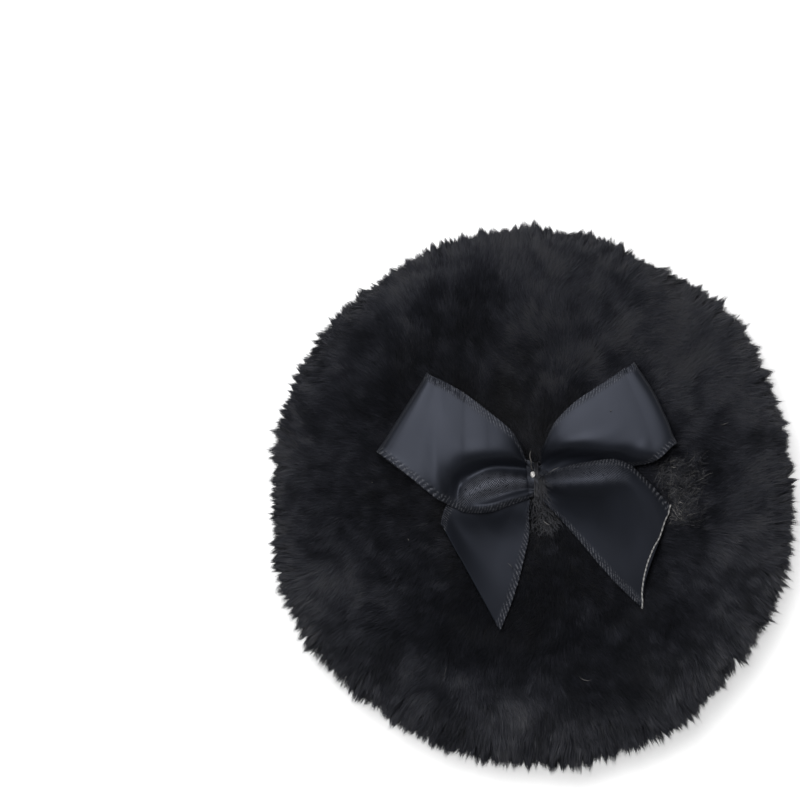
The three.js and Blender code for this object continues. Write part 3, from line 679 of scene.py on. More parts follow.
def turnedBow(points, turn):
    x, y = points[:, 0], points[:, 1] - puff["bowOffset"]
    c, s = math.cos(turn), math.sin(turn)
    return np.column_stack([x * c - y * s, x * s + y * c + puff["bowOffset"], points[:, 2]])


def cellOf(points):
    i = ((points[..., 0] + heights["reach"]) / heights["cell"]).astype(int)
    j = ((points[..., 1] + heights["reach"]) / heights["cell"]).astype(int)
    return i, j


def bowHeights():
    count = int(2 * heights["reach"] / heights["cell"])
    lowest, highest = np.full((count, count), np.inf), np.full((count, count), -np.inf)
    for grid in lofts.values():
        points = grid.reshape(-1, 3)
        np.maximum.at(highest, cellOf(points), points[:, 2] + ribbon["thickness"] / 2)
        for turn in np.linspace(-heights["swing"], heights["swing"], heights["swingSteps"]):
            place = cellOf(turnedBow(points, turn))
            np.minimum.at(lowest, place, points[:, 2] - ribbon["thickness"] / 2 - heights["gap"])
    for step in range(heights["flatCells"] + heights["sideCells"]):
        rise = heights["sideRise"] if step >= heights["flatCells"] else 0
        beside = [np.roll(lowest, shift, axis) + rise for shift in (-1, 1) for axis in (0, 1)]
        lowest = np.min([lowest, *beside], axis=0)
    return lowest, highest


def lowestAround(table, cells):
    for axis in (0, 1):
        table = np.min([np.roll(table, shift, axis) for shift in range(-cells, cells + 1)], axis=0)
    return table


underside, upperSide = bowHeights()
lowerRoom = lowestAround(underside, heights["coarseCells"]) - puff["pileUnderBow"]


def heightAt(points, table, outside):
    i, j = cellOf(points)
    last = len(table) - 1
    inside = (i >= 0) & (i <= last) & (j >= 0) & (j <= last)
    return np.where(inside, table[i.clip(0, last), j.clip(0, last)], outside)


def pressed(lines, dip):  # a strand that would reach the bow goes down whole, until it lies dip below
    over = (lines[..., 2] - heightAt(lines, underside, np.inf) + dip).max(1).clip(0)
    lines[..., 2] -= over[:, None]
    return lines, over


# Fur: strands grow out of the pile's depth and lean with the nap. They gather in small clumps
# and in pointed tufts, more so near the outline.

fur = {
    "strands": {"top": 330_000, "side": 130_000, "foot": 36_000},
    "pieces": {"top": 6, "side": 3, "foot": 1},
    "areas": {"top": 7900, "side": 6300, "foot": 1850},  # in square millimetres
    "widths": {"top": 0.16 * mm, "side": 0.2 * mm, "foot": 0.28 * mm},
    "taper": (1, 0.8, 0.05),  # width at the root, further on and at the tip, as shares
    "curve": (0, 0.55, 1),  # and where along the strand these are
    "depthShare": 0.45,  # where the strands leave the dense lower pile
    "lean": 2.1 * mm,
    "rise": 0.25 * mm,  # how unevenly the tips stand
    "stray": 0.45,  # how far they stray from the nap, in radians
    # Tufts and clumps have a rise and a stray of their own. standOut is how far they reach out at
    # the outline, least and most. keep is the share of its own place in them that a strand keeps,
    # and what the outline takes off it. pull is how much they draw it in, and what the outline adds.
    "tufts": {"spacing": 2.5 * mm, "rise": 0.4 * mm, "stray": 0.3, "standOut": (-0.6 * mm, 1.9 * mm),
              "tint": 0.1, "keep": (0.55, 0.45), "pull": (0.1, 0.36)},
    "clumps": {"spacing": 1.25 * mm, "rise": 0.3 * mm, "stray": 0.5, "standOut": (-0.4 * mm, 1.2 * mm),
               "tint": 0.12, "keep": (0.4, 0.3), "pull": (0.22, 0.36)},
    "swell": 0.45 * mm,  # broad ups and downs of the pile
    "stand": {"top": 0.75 * mm, "side": 1.1 * mm, "foot": 0},  # how far the tips stand over the solid
    "rimBand": (0.84, 0.97),  # where the rim starts and is complete, as shares of the radius
    "outlineInset": 0.8 * mm,
    "pressedDip": 0.7 * mm,  # loosely held strands lie up to this far under the room for the bow
    "pressedPaintedShade": 0.06,  # painted shade: how much darker pressed fur is coloured for each millimetre it is pressed
    "rimFall": 1.5 * mm,  # how far tips at the rim hang over the seam or stand above it
    "floorGap": (0.03 * mm, 0.25 * mm),  # the least height over the floor, and what chance adds
    # lift is how much of the nap's painted sheen, shade and rim light goes into the strands' colour
    "tint": {"least": 0.02, "plain": 0.49, "most": 0.9, "lift": 0.75, "strand": 0.12},
    # points of the outline: how many, their widths against each other, and how far they reach
    "points": (220, (0.3, 2.2), (-0.6 * mm, 1.4 * mm)),
    "pointPull": 0.36,
    # tips of the outline by angle from +X, in steps of 20 degrees, over the pad's radius
    "outlineShares": (0.985, 0.98, 1.005, 0.978, 0.993, 1.005, 0.992, 1.003, 0.996, 0.979,
                      1.022, 1.026, 1.022, 1.029, 1.055, 1.052, 1.018, 1.012),
}

# Places where the strands are coloured lighter, as painted sheen, or darker, as painted shade, and lean
# further or less: x and y in millimetres, reach in millimetres and how much
napAndPaintedLightPatches = (
    (22, 27, 15, 0.44), (38, 18, 10, 0.3), (0, 31, 6, 0.36), (-5, 41, 5, 0.4), (-22, 34, 7, 0.5),
    (-34, -18, 7, 0.3), (-5, -37, 6, 0.5), (38, -4, 11, 0.34), (3, 41, 6, 0.3), (10, 28, 7, 0.24),
    (28, -10, 5, 0.2), (11, -18, 4, 0.2), (0, -22, 13, -0.5), (-18, -25, 9, -0.3), (16, -31, 9, -0.34),
    (3, -36, 3.5, -0.3), (-31, -27, 6, -0.25), (-18, 16, 9, -0.3), (-27, 2, 9, -0.12), (7, 14, 5, -0.24),
    (-12, 30, 5, -0.25), (-20, -29, 5, 0.25), (-13, -40, 4, -0.3), (14, 22, 5, -0.14), (5, 22, 4, 0.12),
    (22, -21, 5, -0.16), (31, -21, 5, -0.12), (31, -30, 5, 0.12), (23, 31, 6, 0.12),
    (22, -13, 8, -0.24), (27, 4, 7, -0.3), (-14, 26, 5, -0.15), (-41, 6, 7, 0.15), (-38, -14, 5, 0.1),
)

# Places where the nap turns away from straight outwards: x, y and reach in millimetres, turn
napTurns = ((-22, 35, 9, 0.9), (16, 30, 9, -0.5), (38, 10, 10, -0.5), (-36, -16, 9, 0.5), (8, -36, 8, 0.4))


def near(x, y, px, py, reach):  # 1 at a place given in millimetres, fading out round its reach
    return np.exp(-((x - px * mm) ** 2 + (y - py * mm) ** 2) / (reach * mm) ** 2)


def napAndPaintedLight(x, y):
    lift = np.zeros_like(x)
    for px, py, reach, amount in napAndPaintedLightPatches:
        lift += amount * near(x, y, px, py, reach)
    rim = eased(np.hypot(x, y), 0.86 * puff["radius"], 1.02 * puff["radius"])
    # painted sheen and shade from the patches, a painted rim light near the outline, and tone that differs
    # at random
    return lift + 0.34 * rim + 0.22 * smoothNoise(x, y, 4.5 * mm, 5) + 0.16 * smoothNoise(x, y, 2 * mm, 6)


def outlineReach(angle):
    shares = np.array(fur["outlineShares"])
    place = (angle / (2 * np.pi) % 1) * len(shares)
    first = np.floor(place).astype(int) % len(shares)
    share = eased(place - np.floor(place), 0, 1)
    return shares[first] * (1 - share) + shares[(first + 1) % len(shares)] * share


def profileTable(part):
    # radius share, height, and the way out of the surface, from the crown to the underside
    steps = 300
    if part == "top":
        turn = np.linspace(0.02, np.pi / 2, steps)
        share = np.sin(turn) ** (2 / puff["pileRoundness"])
        height = puff["seamHeight"] * (1 + np.cos(turn).clip(0) ** (2 / puff["pileRoundness"]))
        height = height - dimple(share * puff["radius"])
    elif part == "side":
        turn = np.linspace(np.pi / 2, 0, steps)
        foot = puff["footRadius"] / puff["radius"]
        share = foot + (1 - foot) * np.sin(turn) ** (2 / puff["footRoundness"])
        height = puff["seamHeight"] * (1 - np.cos(turn).clip(0) ** (2 / puff["footRoundness"]))
    else:
        share = np.linspace(puff["footRadius"] / puff["radius"], 0.02, steps)
        height = np.zeros(steps)
    run = np.gradient(share * puff["radius"])
    rise = np.gradient(height)
    length = np.hypot(run, rise)
    wayOut = np.stack([-rise / length, run / length], 1)
    weight = np.cumsum(share * length)
    return share, height, wayOut, weight / weight[-1]


def scatter(part, count):
    # points on the pile's outer surface, with the pad's surface under each
    share, height, wayOut, weight = profileTable(part)
    pick = np.interp(random.uniform(0, 1, count), weight, np.arange(len(share)))
    angle = random.uniform(-np.pi, np.pi, count)
    s, z, nr, nz = (
        np.interp(pick, np.arange(len(share)), line) for line in (share, height, *wayOut.T)
    )
    far = eased(s, 0.72, 1)
    reach = outlineReach(angle) * puff["radius"] - fur["outlineInset"]
    radius = s * (puff["radius"] * (1 - far) + reach * far)
    centre = puff["bowOffset"] * (1 - far)
    flat = np.stack([np.cos(angle), np.sin(angle)], 1)
    outer = np.column_stack([flat * radius[:, None] + np.stack([np.zeros(count), centre], 1), z])
    normal = unit(np.column_stack([flat * nr[:, None], nz]))
    padZ = domeShare(s, puff["padRoundness"]) * puff["padRise"]
    padZ = padZ - puff["padDimple"] * dimple(s * puff["padRadius"]) * (part == "top")
    side = 1 if part == "top" else -1
    inner = np.column_stack([
        flat * (s * puff["padRadius"])[:, None] + [0, puff["bowOffset"]],
        puff["seamHeight"] + side * padZ,
    ])
    return outer, normal, inner, angle, s


def nearest(places, points):
    tree = kdtree.KDTree(len(places))
    for index, place in enumerate(places):
        tree.insert(place, index)
    tree.balance()
    return np.fromiter((tree.find(point)[1] for point in points), int, len(points))


def napHeading(part, place, normal, angle, stray):
    x, y, z = place.T
    outwards = np.column_stack([np.cos(angle), np.sin(angle), np.zeros(len(angle))])
    swirl = 0.9 * smoothNoise(x + z, y, 12 * mm, 1) + 1.1 * smoothNoise(x, y + z, 4.5 * mm, 2)
    for px, py, reach, turn in napTurns:
        swirl += turn * near(x, y, px, py, reach)
    swirl = swirl + random.normal(0, stray, len(angle))
    crosswise = np.cross(upwards, outwards)
    heading = outwards * np.cos(swirl)[:, None] + crosswise * np.sin(swirl)[:, None]
    if part == "side":  # the pile under the rim hangs, more so further down
        hang = 0.05 + 0.55 * eased(puff["seamHeight"] - z, 0, 8 * mm)
        heading = heading * 0.5 - hang[:, None] * upwards + outwards * 0.2
    return unit(heading - normal * (heading * normal).sum(1)[:, None])


def tipsOf(part, place, normal, angle, share, rise, stray):
    # where the fibres that stand here end, before they gather
    count = len(place)
    heading = napHeading(part, place, normal, angle, stray)
    lift = napAndPaintedLight(place[:, 0], place[:, 1])
    lean = fur["lean"] * (0.6 + 1.1 * np.clip(lift + 0.2, 0, 1)) * random.uniform(0.7, 1.3, count)
    lean = lean * (1 - 0.5 * eased(share, 0.86, 1)) * (0.75 if part == "side" else 1)
    proud = rise * random.normal(0, 0.7, count).clip(-1.5, 1.8)
    proud += fur["swell"] * smoothNoise(place[:, 0] + place[:, 2], place[:, 1], 6 * mm, 9)
    proud = proud * (part != "foot") + fur["stand"][part]
    tips = place + normal * proud[:, None] + heading * lean[:, None]
    if part != "foot":
        fall = random.normal(-0.2, 0.8, count).clip(-1.6, 1.4)
        tips[:, 2] += fur["rimFall"] * eased(share, 0.88, 1) * fall
    return tips, lift


def rimShare(part, share):
    return eased(share, *fur["rimBand"]) * (part != "foot")


def gatherings(part, kind):
    # places, tips and tints of the tufts or clumps, which point outwards at the outline
    settings = fur[kind]
    count = int(fur["areas"][part] / (settings["spacing"] / mm) ** 2)
    place, normal, _, angle, share = scatter(part, count)
    tip, _ = tipsOf(part, place, normal, angle, share, settings["rise"], settings["stray"])
    turned = angle + random.normal(0, 0.5, count)
    out = rimShare(part, share) * random.uniform(*settings["standOut"], count)
    tip += np.column_stack([out * np.cos(turned), out * np.sin(turned), 0 * out])
    return place, tip, random.normal(0, settings["tint"], count)


pointEnds = np.cumsum(random.uniform(*fur["points"][1], fur["points"][0]))
pointEnds = pointEnds / pointEnds[-1] * 2 * np.pi
pointReach = random.uniform(*fur["points"][2], len(pointEnds))
pointLean = random.uniform(0.25, 0.75, len(pointEnds))


def pointed(tips, rim):  # the tips at the rim gather into the points of the outline
    place = np.arctan2(tips[:, 1], tips[:, 0]) % (2 * np.pi)
    mine = np.searchsorted(pointEnds, place).clip(0, len(pointEnds) - 1)
    start = np.where(mine > 0, pointEnds[mine - 1], 0)
    peak = start + pointLean[mine] * (pointEnds[mine] - start)
    away = np.abs(place - peak) / np.where(place < peak, peak - start, pointEnds[mine] - peak)
    turned = place + (peak - place) * fur["pointPull"] * rim
    reach = np.hypot(tips[:, 0], tips[:, 1]) + pointReach[mine] * (1 - away) * rim
    return np.column_stack([reach * np.cos(turned), reach * np.sin(turned), tips[:, 2]])


def strandCurves(root, bend, tip):
    steps = np.array(fur["curve"])[None, :, None]
    return (
        root[:, None] * (1 - steps) ** 2
        + bend[:, None] * 2 * steps * (1 - steps)
        + tip[:, None] * steps ** 2
    )


def growFur(part, count):
    gathered = {kind: gatherings(part, kind) for kind in ("tufts", "clumps")}
    outer, normal, inner, angle, share = scatter(part, count)
    tip, lift = tipsOf(part, outer, normal, angle, share, fur["rise"], fur["stray"])
    rim = rimShare(part, share)
    held = (1 - 0.75 * random.uniform(0, 1, count) ** 2)[:, None]  # by its clump and tuft
    shared = {}
    for kind in ("clumps", "tufts"):
        place, sharedTip, tint = gathered[kind]
        keep, pull = fur[kind]["keep"], fur[kind]["pull"]
        own = nearest(place, outer)
        drawn = sharedTip[own] + (outer - place[own]) * (keep[0] - keep[1] * rim)[:, None]
        tip += (drawn - tip) * (pull[0] + pull[1] * rim)[:, None] * held
        shared[kind] = tint[own]
    tip = pointed(tip, rim * random.uniform(0, 1, count) ** 0.7)
    root = inner + (outer - inner) * fur["depthShare"]
    tip = root + (tip - root) * random.uniform(0.84, 1.06, count)[:, None]
    lines = strandCurves(root, root + (outer - root) * 0.8, tip)
    lines, over = pressed(lines, (1 - held) * fur["pressedDip"])
    least, more = fur["floorGap"]
    lines[..., 2] = np.maximum(lines[..., 2], least + more * random.uniform(0, 1, count)[:, None])
    along = unit(lines[:, -1] - lines[:, 0])
    across = unit(np.cross(along, normal))
    through = np.cross(along, across)
    roll = random.uniform(-0.8, 0.8, count)[:, None]
    sides = (across * np.cos(roll) + through * np.sin(roll))[:, None]
    tint = fur["tint"]
    # each strand's colour: the nap's painted sheen, shade and rim light, random tone, less the painted
    # shade of pressed fur
    tints = tint["plain"] + tint["lift"] * lift + shared["tufts"] + shared["clumps"]
    tints = tints + random.normal(0, tint["strand"], count) - fur["pressedPaintedShade"] * np.minimum(over / mm, 2)
    return lines, sides, tints.clip(tint["least"], tint["most"]), angle


def addFur(part):
    fewer = 1
    count = fur["strands"][part] // fewer
    widths = fur["widths"][part] * math.sqrt(fewer) * np.array(fur["taper"])
    pieces = fur["pieces"][part]
    lines, sides, tints, angle = growFur(part, count)
    sector = ((angle + np.pi) / (2 * np.pi) * pieces).astype(int).clip(0, pieces - 1)
    for index in range(pieces):
        mine = sector == index
        name = f"{part}_fur_{index + 1}"
        mesh = strandMesh(name, lines[mine], widths, sides[mine], tints[mine])
        addPiece(name, mesh, "pad", "plush_pile", "plush")
    print(f"fur: {count} strands on the {part}")


for part in fur["strands"]:
    addFur(part)


# The dense lower pile, the sewn cloths and the filling

def domePiece(name, placeAt, slot, surface, fill, *replaced):
    bm = bmesh.new()
    bmesh.ops.create_uvsphere(bm, u_segments=96, v_segments=48, radius=1)
    for vert in bm.verts:
        vert.co = placeAt(vert.co.copy())
        if name == "lower_pile":  # it stays under the fur that the bow presses down
            level = float(heightAt(np.array(vert.co), lowerRoom, np.inf))
            vert.co.z = min(vert.co.z, max(level, puff["seamHeight"]))
    piece = addPiece(name, meshFrom(bm, name), "pad", slot, surface)
    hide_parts(*replaced)


def puffLens(radius, rise, roundness, dimpleShare, bumps, seed):
    def place(direction):
        angle = math.atan2(direction.y, direction.x)
        share = min(math.hypot(direction.x, direction.y), 1) ** (2 / roundness)
        up = abs(direction.z) ** (2 / roundness)
        x, y = share * radius * math.cos(angle), share * radius * math.sin(angle)
        wobble = bumps * float(smoothNoise(np.array(x), np.array(y), 4 * mm, seed))
        z = up * rise * (1 if direction.z > 0 else -1)
        z -= dimpleShare * float(dimple(share * radius)) * (direction.z > 0)
        return Vector((x, y + puff["bowOffset"], puff["seamHeight"] + z + wobble * up))
    return place


def makePad():
    bumps = puff["bumps"]
    radius = (puff["radius"] + puff["padRadius"]) / 2 - puff["depthInset"]
    rise = (puff["seamHeight"] + puff["padRise"]) / 2
    depth = puffLens(radius, rise, puff["depthRoundness"], puff["depthDimple"], bumps["depth"], 31)
    cloth = puffLens(
        puff["padRadius"], puff["padRise"], puff["padRoundness"], puff["padDimple"], bumps["pad"], 32
    )
    filling = puffLens(
        puff["fillingRadius"], puff["fillingRise"], puff["fillingRoundness"], puff["padDimple"],
        bumps["filling"], 33,
    )
    domePiece("lower_pile", depth, "plush_pile", "pileDepth", 0.7, "top_pile", "bottom_pile")
    domePiece("sewn_cloth", cloth, "knit_backing", "knit", 0.7, "top_backing", "bottom_backing")
    domePiece("fibre_filling", filling, "fibre_filling", "fibre", 0.6, "filling")
    print("pad: lower pile, sewn cloth and filling")


makePad()


# Bow: each stretch of ribbon is a grid moved onto its loft, with its thickness from Solidify

hingeRise = 2 * mm  # over the middle of the pile

# Where the woven ground of the cloth shows, with its flecks painted bright as glints where the rolls catch
# the light: right and up from the centre and reach, in shares of the ribbon's width, and how strongly
wovenGlintPlaces = {
    "left_loop": ((-0.15, -0.03, 0.07, 0.7), (-0.27, -0.03, 0.09, 0.9), (-0.4, -0.05, 0.12, 1),
                  (-0.52, -0.07, 0.13, 1), (-0.64, -0.12, 0.11, 0.9), (-0.74, -0.2, 0.08, 0.5)),
    "right_loop": (),
    "left_tail": (),
    "right_tail": ((0.17, -0.01, 0.07, 0.3), (0.3, 0.03, 0.1, 0.32), (0.43, 0.07, 0.11, 0.34),
                   (0.57, 0.09, 0.12, 0.38), (0.7, 0.1, 0.12, 0.4), (0.83, 0.09, 0.11, 0.3),
                   (0.94, 0.06, 0.09, 0.15)),
}
# Fine pleats near the middle, and further out along the roll of the right tail
gathers = {"rise": 0.06 * mm, "count": 15, "reach": 5 * mm, "rollReach": 15 * mm, "rollShare": 0.42}


def clothRelief(name, grid, across, seed):
    # small slanted stitches stand proud along both edges, and fine pleats run out of the middle
    along, across = np.meshgrid(alongSheet(grid), across, indexing="ij")
    fromEdge = np.minimum(across, 1 - across) * ribbon["width"]
    noise = smoothNoise(along, fromEdge, 0.9 * mm, seed)
    strength = 0.6 + 0.6 * smoothNoise(along, across * ribbon["width"], 0.5 * mm, seed + 2)
    turns = (along + 0.5 * fromEdge + 0.2 * mm * noise) / ribbon["selvedgePitch"]
    band = 1 - eased(fromEdge, 0.5 * mm, ribbon["selvedgeBand"])
    ripple = smoothNoise(along, np.sign(across - 0.5) * 9 * mm, 3 * mm, seed + 1)
    lift = ribbon["selvedgeRise"] * np.sin(2 * np.pi * turns) * band * strength
    lift += 0.08 * mm * ripple * band
    fromMiddle = np.hypot(grid[..., 0], grid[..., 1] - puff["bowOffset"])
    wave = smoothNoise(along, across * ribbon["width"], 3 * mm, seed + 3)
    pleats = np.sin(2 * np.pi * gathers["count"] * across + 4 * wave)
    onRoll = 1 - eased(across, 0.6 * gathers["rollShare"], gathers["rollShare"])
    reach = gathers["reach"] + (gathers["rollReach"] - gathers["reach"]) * onRoll * (name == "right_tail")
    lift += gathers["rise"] * pleats * np.exp(-((fromMiddle / reach) ** 2))
    return grid + outward(grid) * lift[..., None]


def wovenGlintShare(name, grid):
    x, y = grid[..., 0] / ribbon["width"], (grid[..., 1] - puff["bowOffset"]) / ribbon["width"]
    share = np.zeros(grid.shape[:2])
    for px, py, reach, strength in wovenGlintPlaces[name]:
        away = ((x - px) ** 2 + (y - py) ** 2) / reach ** 2
        share = np.maximum(share, strength * np.exp(-(away ** 2)))
    if "loop" in name:  # only on the upper layer
        share[len(grid) // 2:] = 0
    return share


def clothGrid(name, grid, across, woven):
    rows, columns = grid.shape[:2]
    bm = bmesh.new()
    lay = bm.loops.layers.uv.new("ribbonLay")
    show = bm.verts.layers.float.new("wovenShow")
    bmesh.ops.create_grid(bm, x_segments=columns - 1, y_segments=rows - 1, size=1)
    along = alongSheet(grid) / ribbon["width"]
    cells = {}
    for vert in bm.verts:
        column = round((vert.co.x + 1) / 2 * (columns - 1))
        row = round((vert.co.y + 1) / 2 * (rows - 1))
        cells[vert] = (across[column], along[row])
        vert[show] = woven[row, column]
        vert.co = Vector(grid[row, column])
    for face in bm.faces:
        for corner in face.loops:
            corner[lay].uv = cells[corner.vert]
    if crossesUp(grid):  # the satin side is up where the ribbon leaves the middle
        bmesh.ops.reverse_faces(bm, faces=bm.faces)
    return meshFrom(bm, name)


def ribbonPiece(name, grid, across, woven, body=None):
    # the tails get the duller copy of the satin, their painted shade
    face = "tailShadedSatin" if "tail" in name else "satin"
    piece = addPiece(name, clothGrid(name, grid, across, woven), body, "satin_ribbon", face, "satinBack")
    solid = piece.modifiers.new("thickness", "SOLIDIFY")
    solid.thickness = ribbon["thickness"]
    solid.offset = 0
    solid.material_offset = 1
    return piece


def bendAt(piece):
    level = pileTop(0) + hingeRise
    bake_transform(piece)


# The gathered middle: the layers of both loops and the right tail meet in pleats under the thread
middleRibs = [
    [(-0.09, 0.225, -0.02), (-0.085, 0.195, -0.04), (-0.08, 0.165, -0.1), (-0.075, 0.1, -0.06),
     (-0.07, 0.04, 0), (-0.065, -0.02, 0.01), (-0.06, -0.09, -0.07), (-0.055, -0.14, -0.04),
     (-0.05, -0.18, -0.09)],
    squareRib(-0.01, (0.19, -0.07), (0.155, -0.06), (0.115, -0.09), (0.07, -0.04), (0.01, 0),
              (-0.05, -0.02), (-0.09, -0.07), (-0.13, -0.05), (-0.17, -0.1)),
    squareRib(0.05, (0.14, -0.15), (0.12, -0.13), (0.1, -0.1), (0.07, -0.04), (0.01, 0),
              (-0.05, 0), (-0.09, -0.05), (-0.13, -0.09), (-0.17, -0.12)),
    squareRib(0.15, (0.22, -0.16), (0.19, -0.15), (0.15, -0.14), (0.11, -0.12), (0.05, -0.06),
              (-0.02, -0.01), (-0.08, -0.04), (-0.14, -0.09), (-0.2, -0.12)),
]
gather = {
    "wraps": 3,
    "pitch": 0.26 * mm,
    "threadWidth": 0.24 * mm,
    "at": 0.5 * mm,  # along X from the tacked centre
    "half": 3.1 * mm,  # half the wrap's reach along Y
    "low": 0.1 * mm,  # its lowest and highest level over the middle of the crown's ribbon
    "high": 2.95 * mm,
    "stepsPerTurn": 28,
    "squareness": 0.6,  # 1 is round, and less is squarer
    "woven": 0.3,  # how strongly the woven ground and its painted glints show
}


def threadTube(name, points, width, body, slot, surface, sides=8):
    # a section spun round the first point and carried along the route by extrusion
    points = [Vector(point) for point in points]
    bm = bmesh.new()
    heading = (points[1] - points[0]).normalized()
    turn = heading.to_track_quat("Z", "Y").to_matrix().to_4x4()
    ring = bmesh.ops.create_circle(
        bm, cap_ends=True, segments=sides, radius=width / 2, matrix=Matrix.Translation(points[0]) @ turn
    )
    face = ring["verts"][0].link_faces[0]
    for index in range(1, len(points)):
        before = heading
        after = (points[min(index + 1, len(points) - 1)] - points[index - 1]).normalized()
        carried = bmesh.ops.extrude_face_region(bm, geom=[face])["geom"]
        face = next(part for part in carried if isinstance(part, bmesh.types.BMFace))
        spin = before.rotation_difference(after).to_matrix()
        verts = list(face.verts)
        bmesh.ops.translate(bm, verts=verts, vec=points[index] - points[index - 1])
        bmesh.ops.rotate(bm, verts=verts, cent=points[index], matrix=spin)
        heading = after
    bmesh.ops.recalc_face_normals(bm, faces=bm.faces)
    return addPiece(name, meshFrom(bm, name), body, slot, surface)


def centreHeight():
    return pileTop(0) + ribbon["seatGap"] + ribbon["cadThickness"] / 2


def makeGatherThread():
    steps = gather["stepsPerTurn"]
    turn = np.arange(gather["wraps"] * steps + 1) * 2 * np.pi / steps
    circle = np.stack([np.cos(turn), np.sin(turn)])
    out, up = np.sign(circle) * np.abs(circle) ** gather["squareness"]
    x = gather["at"] + gather["pitch"] * (turn / (2 * np.pi) - gather["wraps"] / 2)
    middle, half = (gather["high"] + gather["low"]) / 2, (gather["high"] - gather["low"]) / 2
    points = np.column_stack([
        x, gather["half"] * out + puff["bowOffset"], centreHeight() + middle + half * up,
    ])
    wrap = threadTube("gather_thread", points, gather["threadWidth"], "bow", "sewing_thread", "thread")
    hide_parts("cinch_thread")


def makeBow():
    across = acrossShares()
    pieces = {}
    for index, (name, grid) in enumerate(lofts.items()):
        relief = clothRelief(name, grid, across, 40 + 5 * index)
        piece = ribbonPiece("ribbon_" + name, relief, across, wovenGlintShare(name, grid))
        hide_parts("bow_" + name)
        bendAt(piece)
        pieces[name] = piece
    evenly = np.linspace(0, 1, 61)
    grid = loft(middleRibs, 30, evenly)
    middle = ribbonPiece("ribbon_middle", grid, evenly, np.full(grid.shape[:2], gather["woven"]), "bow")
    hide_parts("bow_centre_fold")
    for name, piece in pieces.items():
        grid = lofts[name]
    makeGatherThread()
    print("bow: four stretches of ribbon and the gathered middle")


makeBow()


# The finishing knot with its thread end, and the loose thread along the right tail's cut edge

knot = {
    "at": (-0.01, 0.065),  # shares of the ribbon's width from the tacked centre
    "rise": 3 * mm,
    "width": 0.9 * mm,
    "threadWidth": 0.2 * mm,
    # the thread's end: across and along in shares of the ribbon's width, and its rise in millimetres
    "threadEnd": ((-0.01, 0.1, 0.1), (-0.026, 0.14, 0.3), (-0.03, 0.2, 0.3), (-0.042, 0.26, -0.2),
                  (-0.03, 0.31, -0.6)),
}
looseThread = {
    "width": 0.27 * mm,
    "picks": 9,  # how many places along the cut edge it follows
    "dip": 0.85 * mm,  # how far its middle hangs inside the edge
    "out": 0.14 * mm,
    "rise": 0.16 * mm,
    "dipRise": 0.2 * mm,
    "firstMove": (0.05 * mm, 0.25 * mm, 0.1 * mm),
    "lastMove": (-0.1 * mm, 0.15 * mm, 0),
    "points": 90,
    "wobble": 0.16 * mm,
    "wobbleSize": 1.1 * mm,
    "endWidth": 0.5 * mm,
}


def spot(xShare, yShare, rise):
    return np.array([
        xShare * ribbon["width"], yShare * ribbon["width"] + puff["bowOffset"], centreHeight() + rise,
    ])


def makeKnot():
    bm = bmesh.new()
    bmesh.ops.create_icosphere(bm, subdivisions=4, radius=knot["width"] / 2)
    for vert in bm.verts:
        x, y, z = vert.co / (knot["width"] / 2)
        wind = 1 + 0.09 * math.sin(9 * z + 2.5 * math.atan2(y, x)) - 0.16 * max(y, 0) * abs(x)
        vert.co = Vector((x * 0.85, y * (1.15 - 0.2 * y), z)) * wind * knot["width"] / 2
    bmesh.ops.translate(bm, verts=bm.verts, vec=Vector(spot(*knot["at"], knot["rise"])))
    piece = addPiece("finishing_knot", meshFrom(bm, "finishing_knot"), "bow", "pale_thread", "pale")
    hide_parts("bow_knot")
    route = np.array([spot(x, y, knot["rise"] + rise * mm) for x, y, rise in knot["threadEnd"]])
    line = smoothThrough(route[:, None], np.linspace(0, 1, 25))[:, 0]
    threadTube("knot_thread_end", line, knot["threadWidth"], "bow", "pale_thread", "endThread")


def makeLooseThread():
    thread = looseThread
    edge = lofts["right_tail"][-1]
    picks = np.linspace(0, len(edge) - 1, thread["picks"]).round().astype(int)
    away = unit(edge - lofts["right_tail"][-4])
    dip = np.sin(np.pi * np.linspace(0, 1, len(picks)) ** 1.3) ** 2
    route = edge[picks] + away[picks] * (thread["out"] - thread["dip"] * dip)[:, None]
    route[:, 2] += thread["rise"] + thread["dipRise"] * dip
    route[0] += thread["firstMove"]
    route[-1] += thread["lastMove"]
    line = smoothThrough(route[:, None], np.linspace(0, 1, thread["points"]))[:, 0]
    place = np.linspace(0, 12 * mm, len(line))
    wobble = thread["wobble"] * smoothNoise(place, 0 * place, thread["wobbleSize"], 71)
    line += away[picks[len(picks) // 2]] * wobble[:, None]
    threadTube("loose_edge_thread", line, thread["width"], "right_tail", "pale_thread", "looseThread")
    bm = bmesh.new()
    bmesh.ops.create_icosphere(bm, subdivisions=3, radius=thread["endWidth"] / 2)
    bmesh.ops.scale(bm, verts=bm.verts, vec=(0.9, 1.2, 0.8))
    bmesh.ops.translate(bm, verts=bm.verts, vec=Vector(line[-1]))
    mesh = meshFrom(bm, "loose_thread_end")
    addPiece("loose_thread_end", mesh, "right_tail", "pale_thread", "looseThread")


makeKnot()
makeLooseThread()
print("threads: knot, its end and the loose thread at the right tail")


# Fluff: fine greyed fibres over the gathered middle and below it, lighter fibres beside the right tail that
# are partly greyed fluff and partly painted sheen of lit fur, and a few stray hairs and pale specks on the
# pile

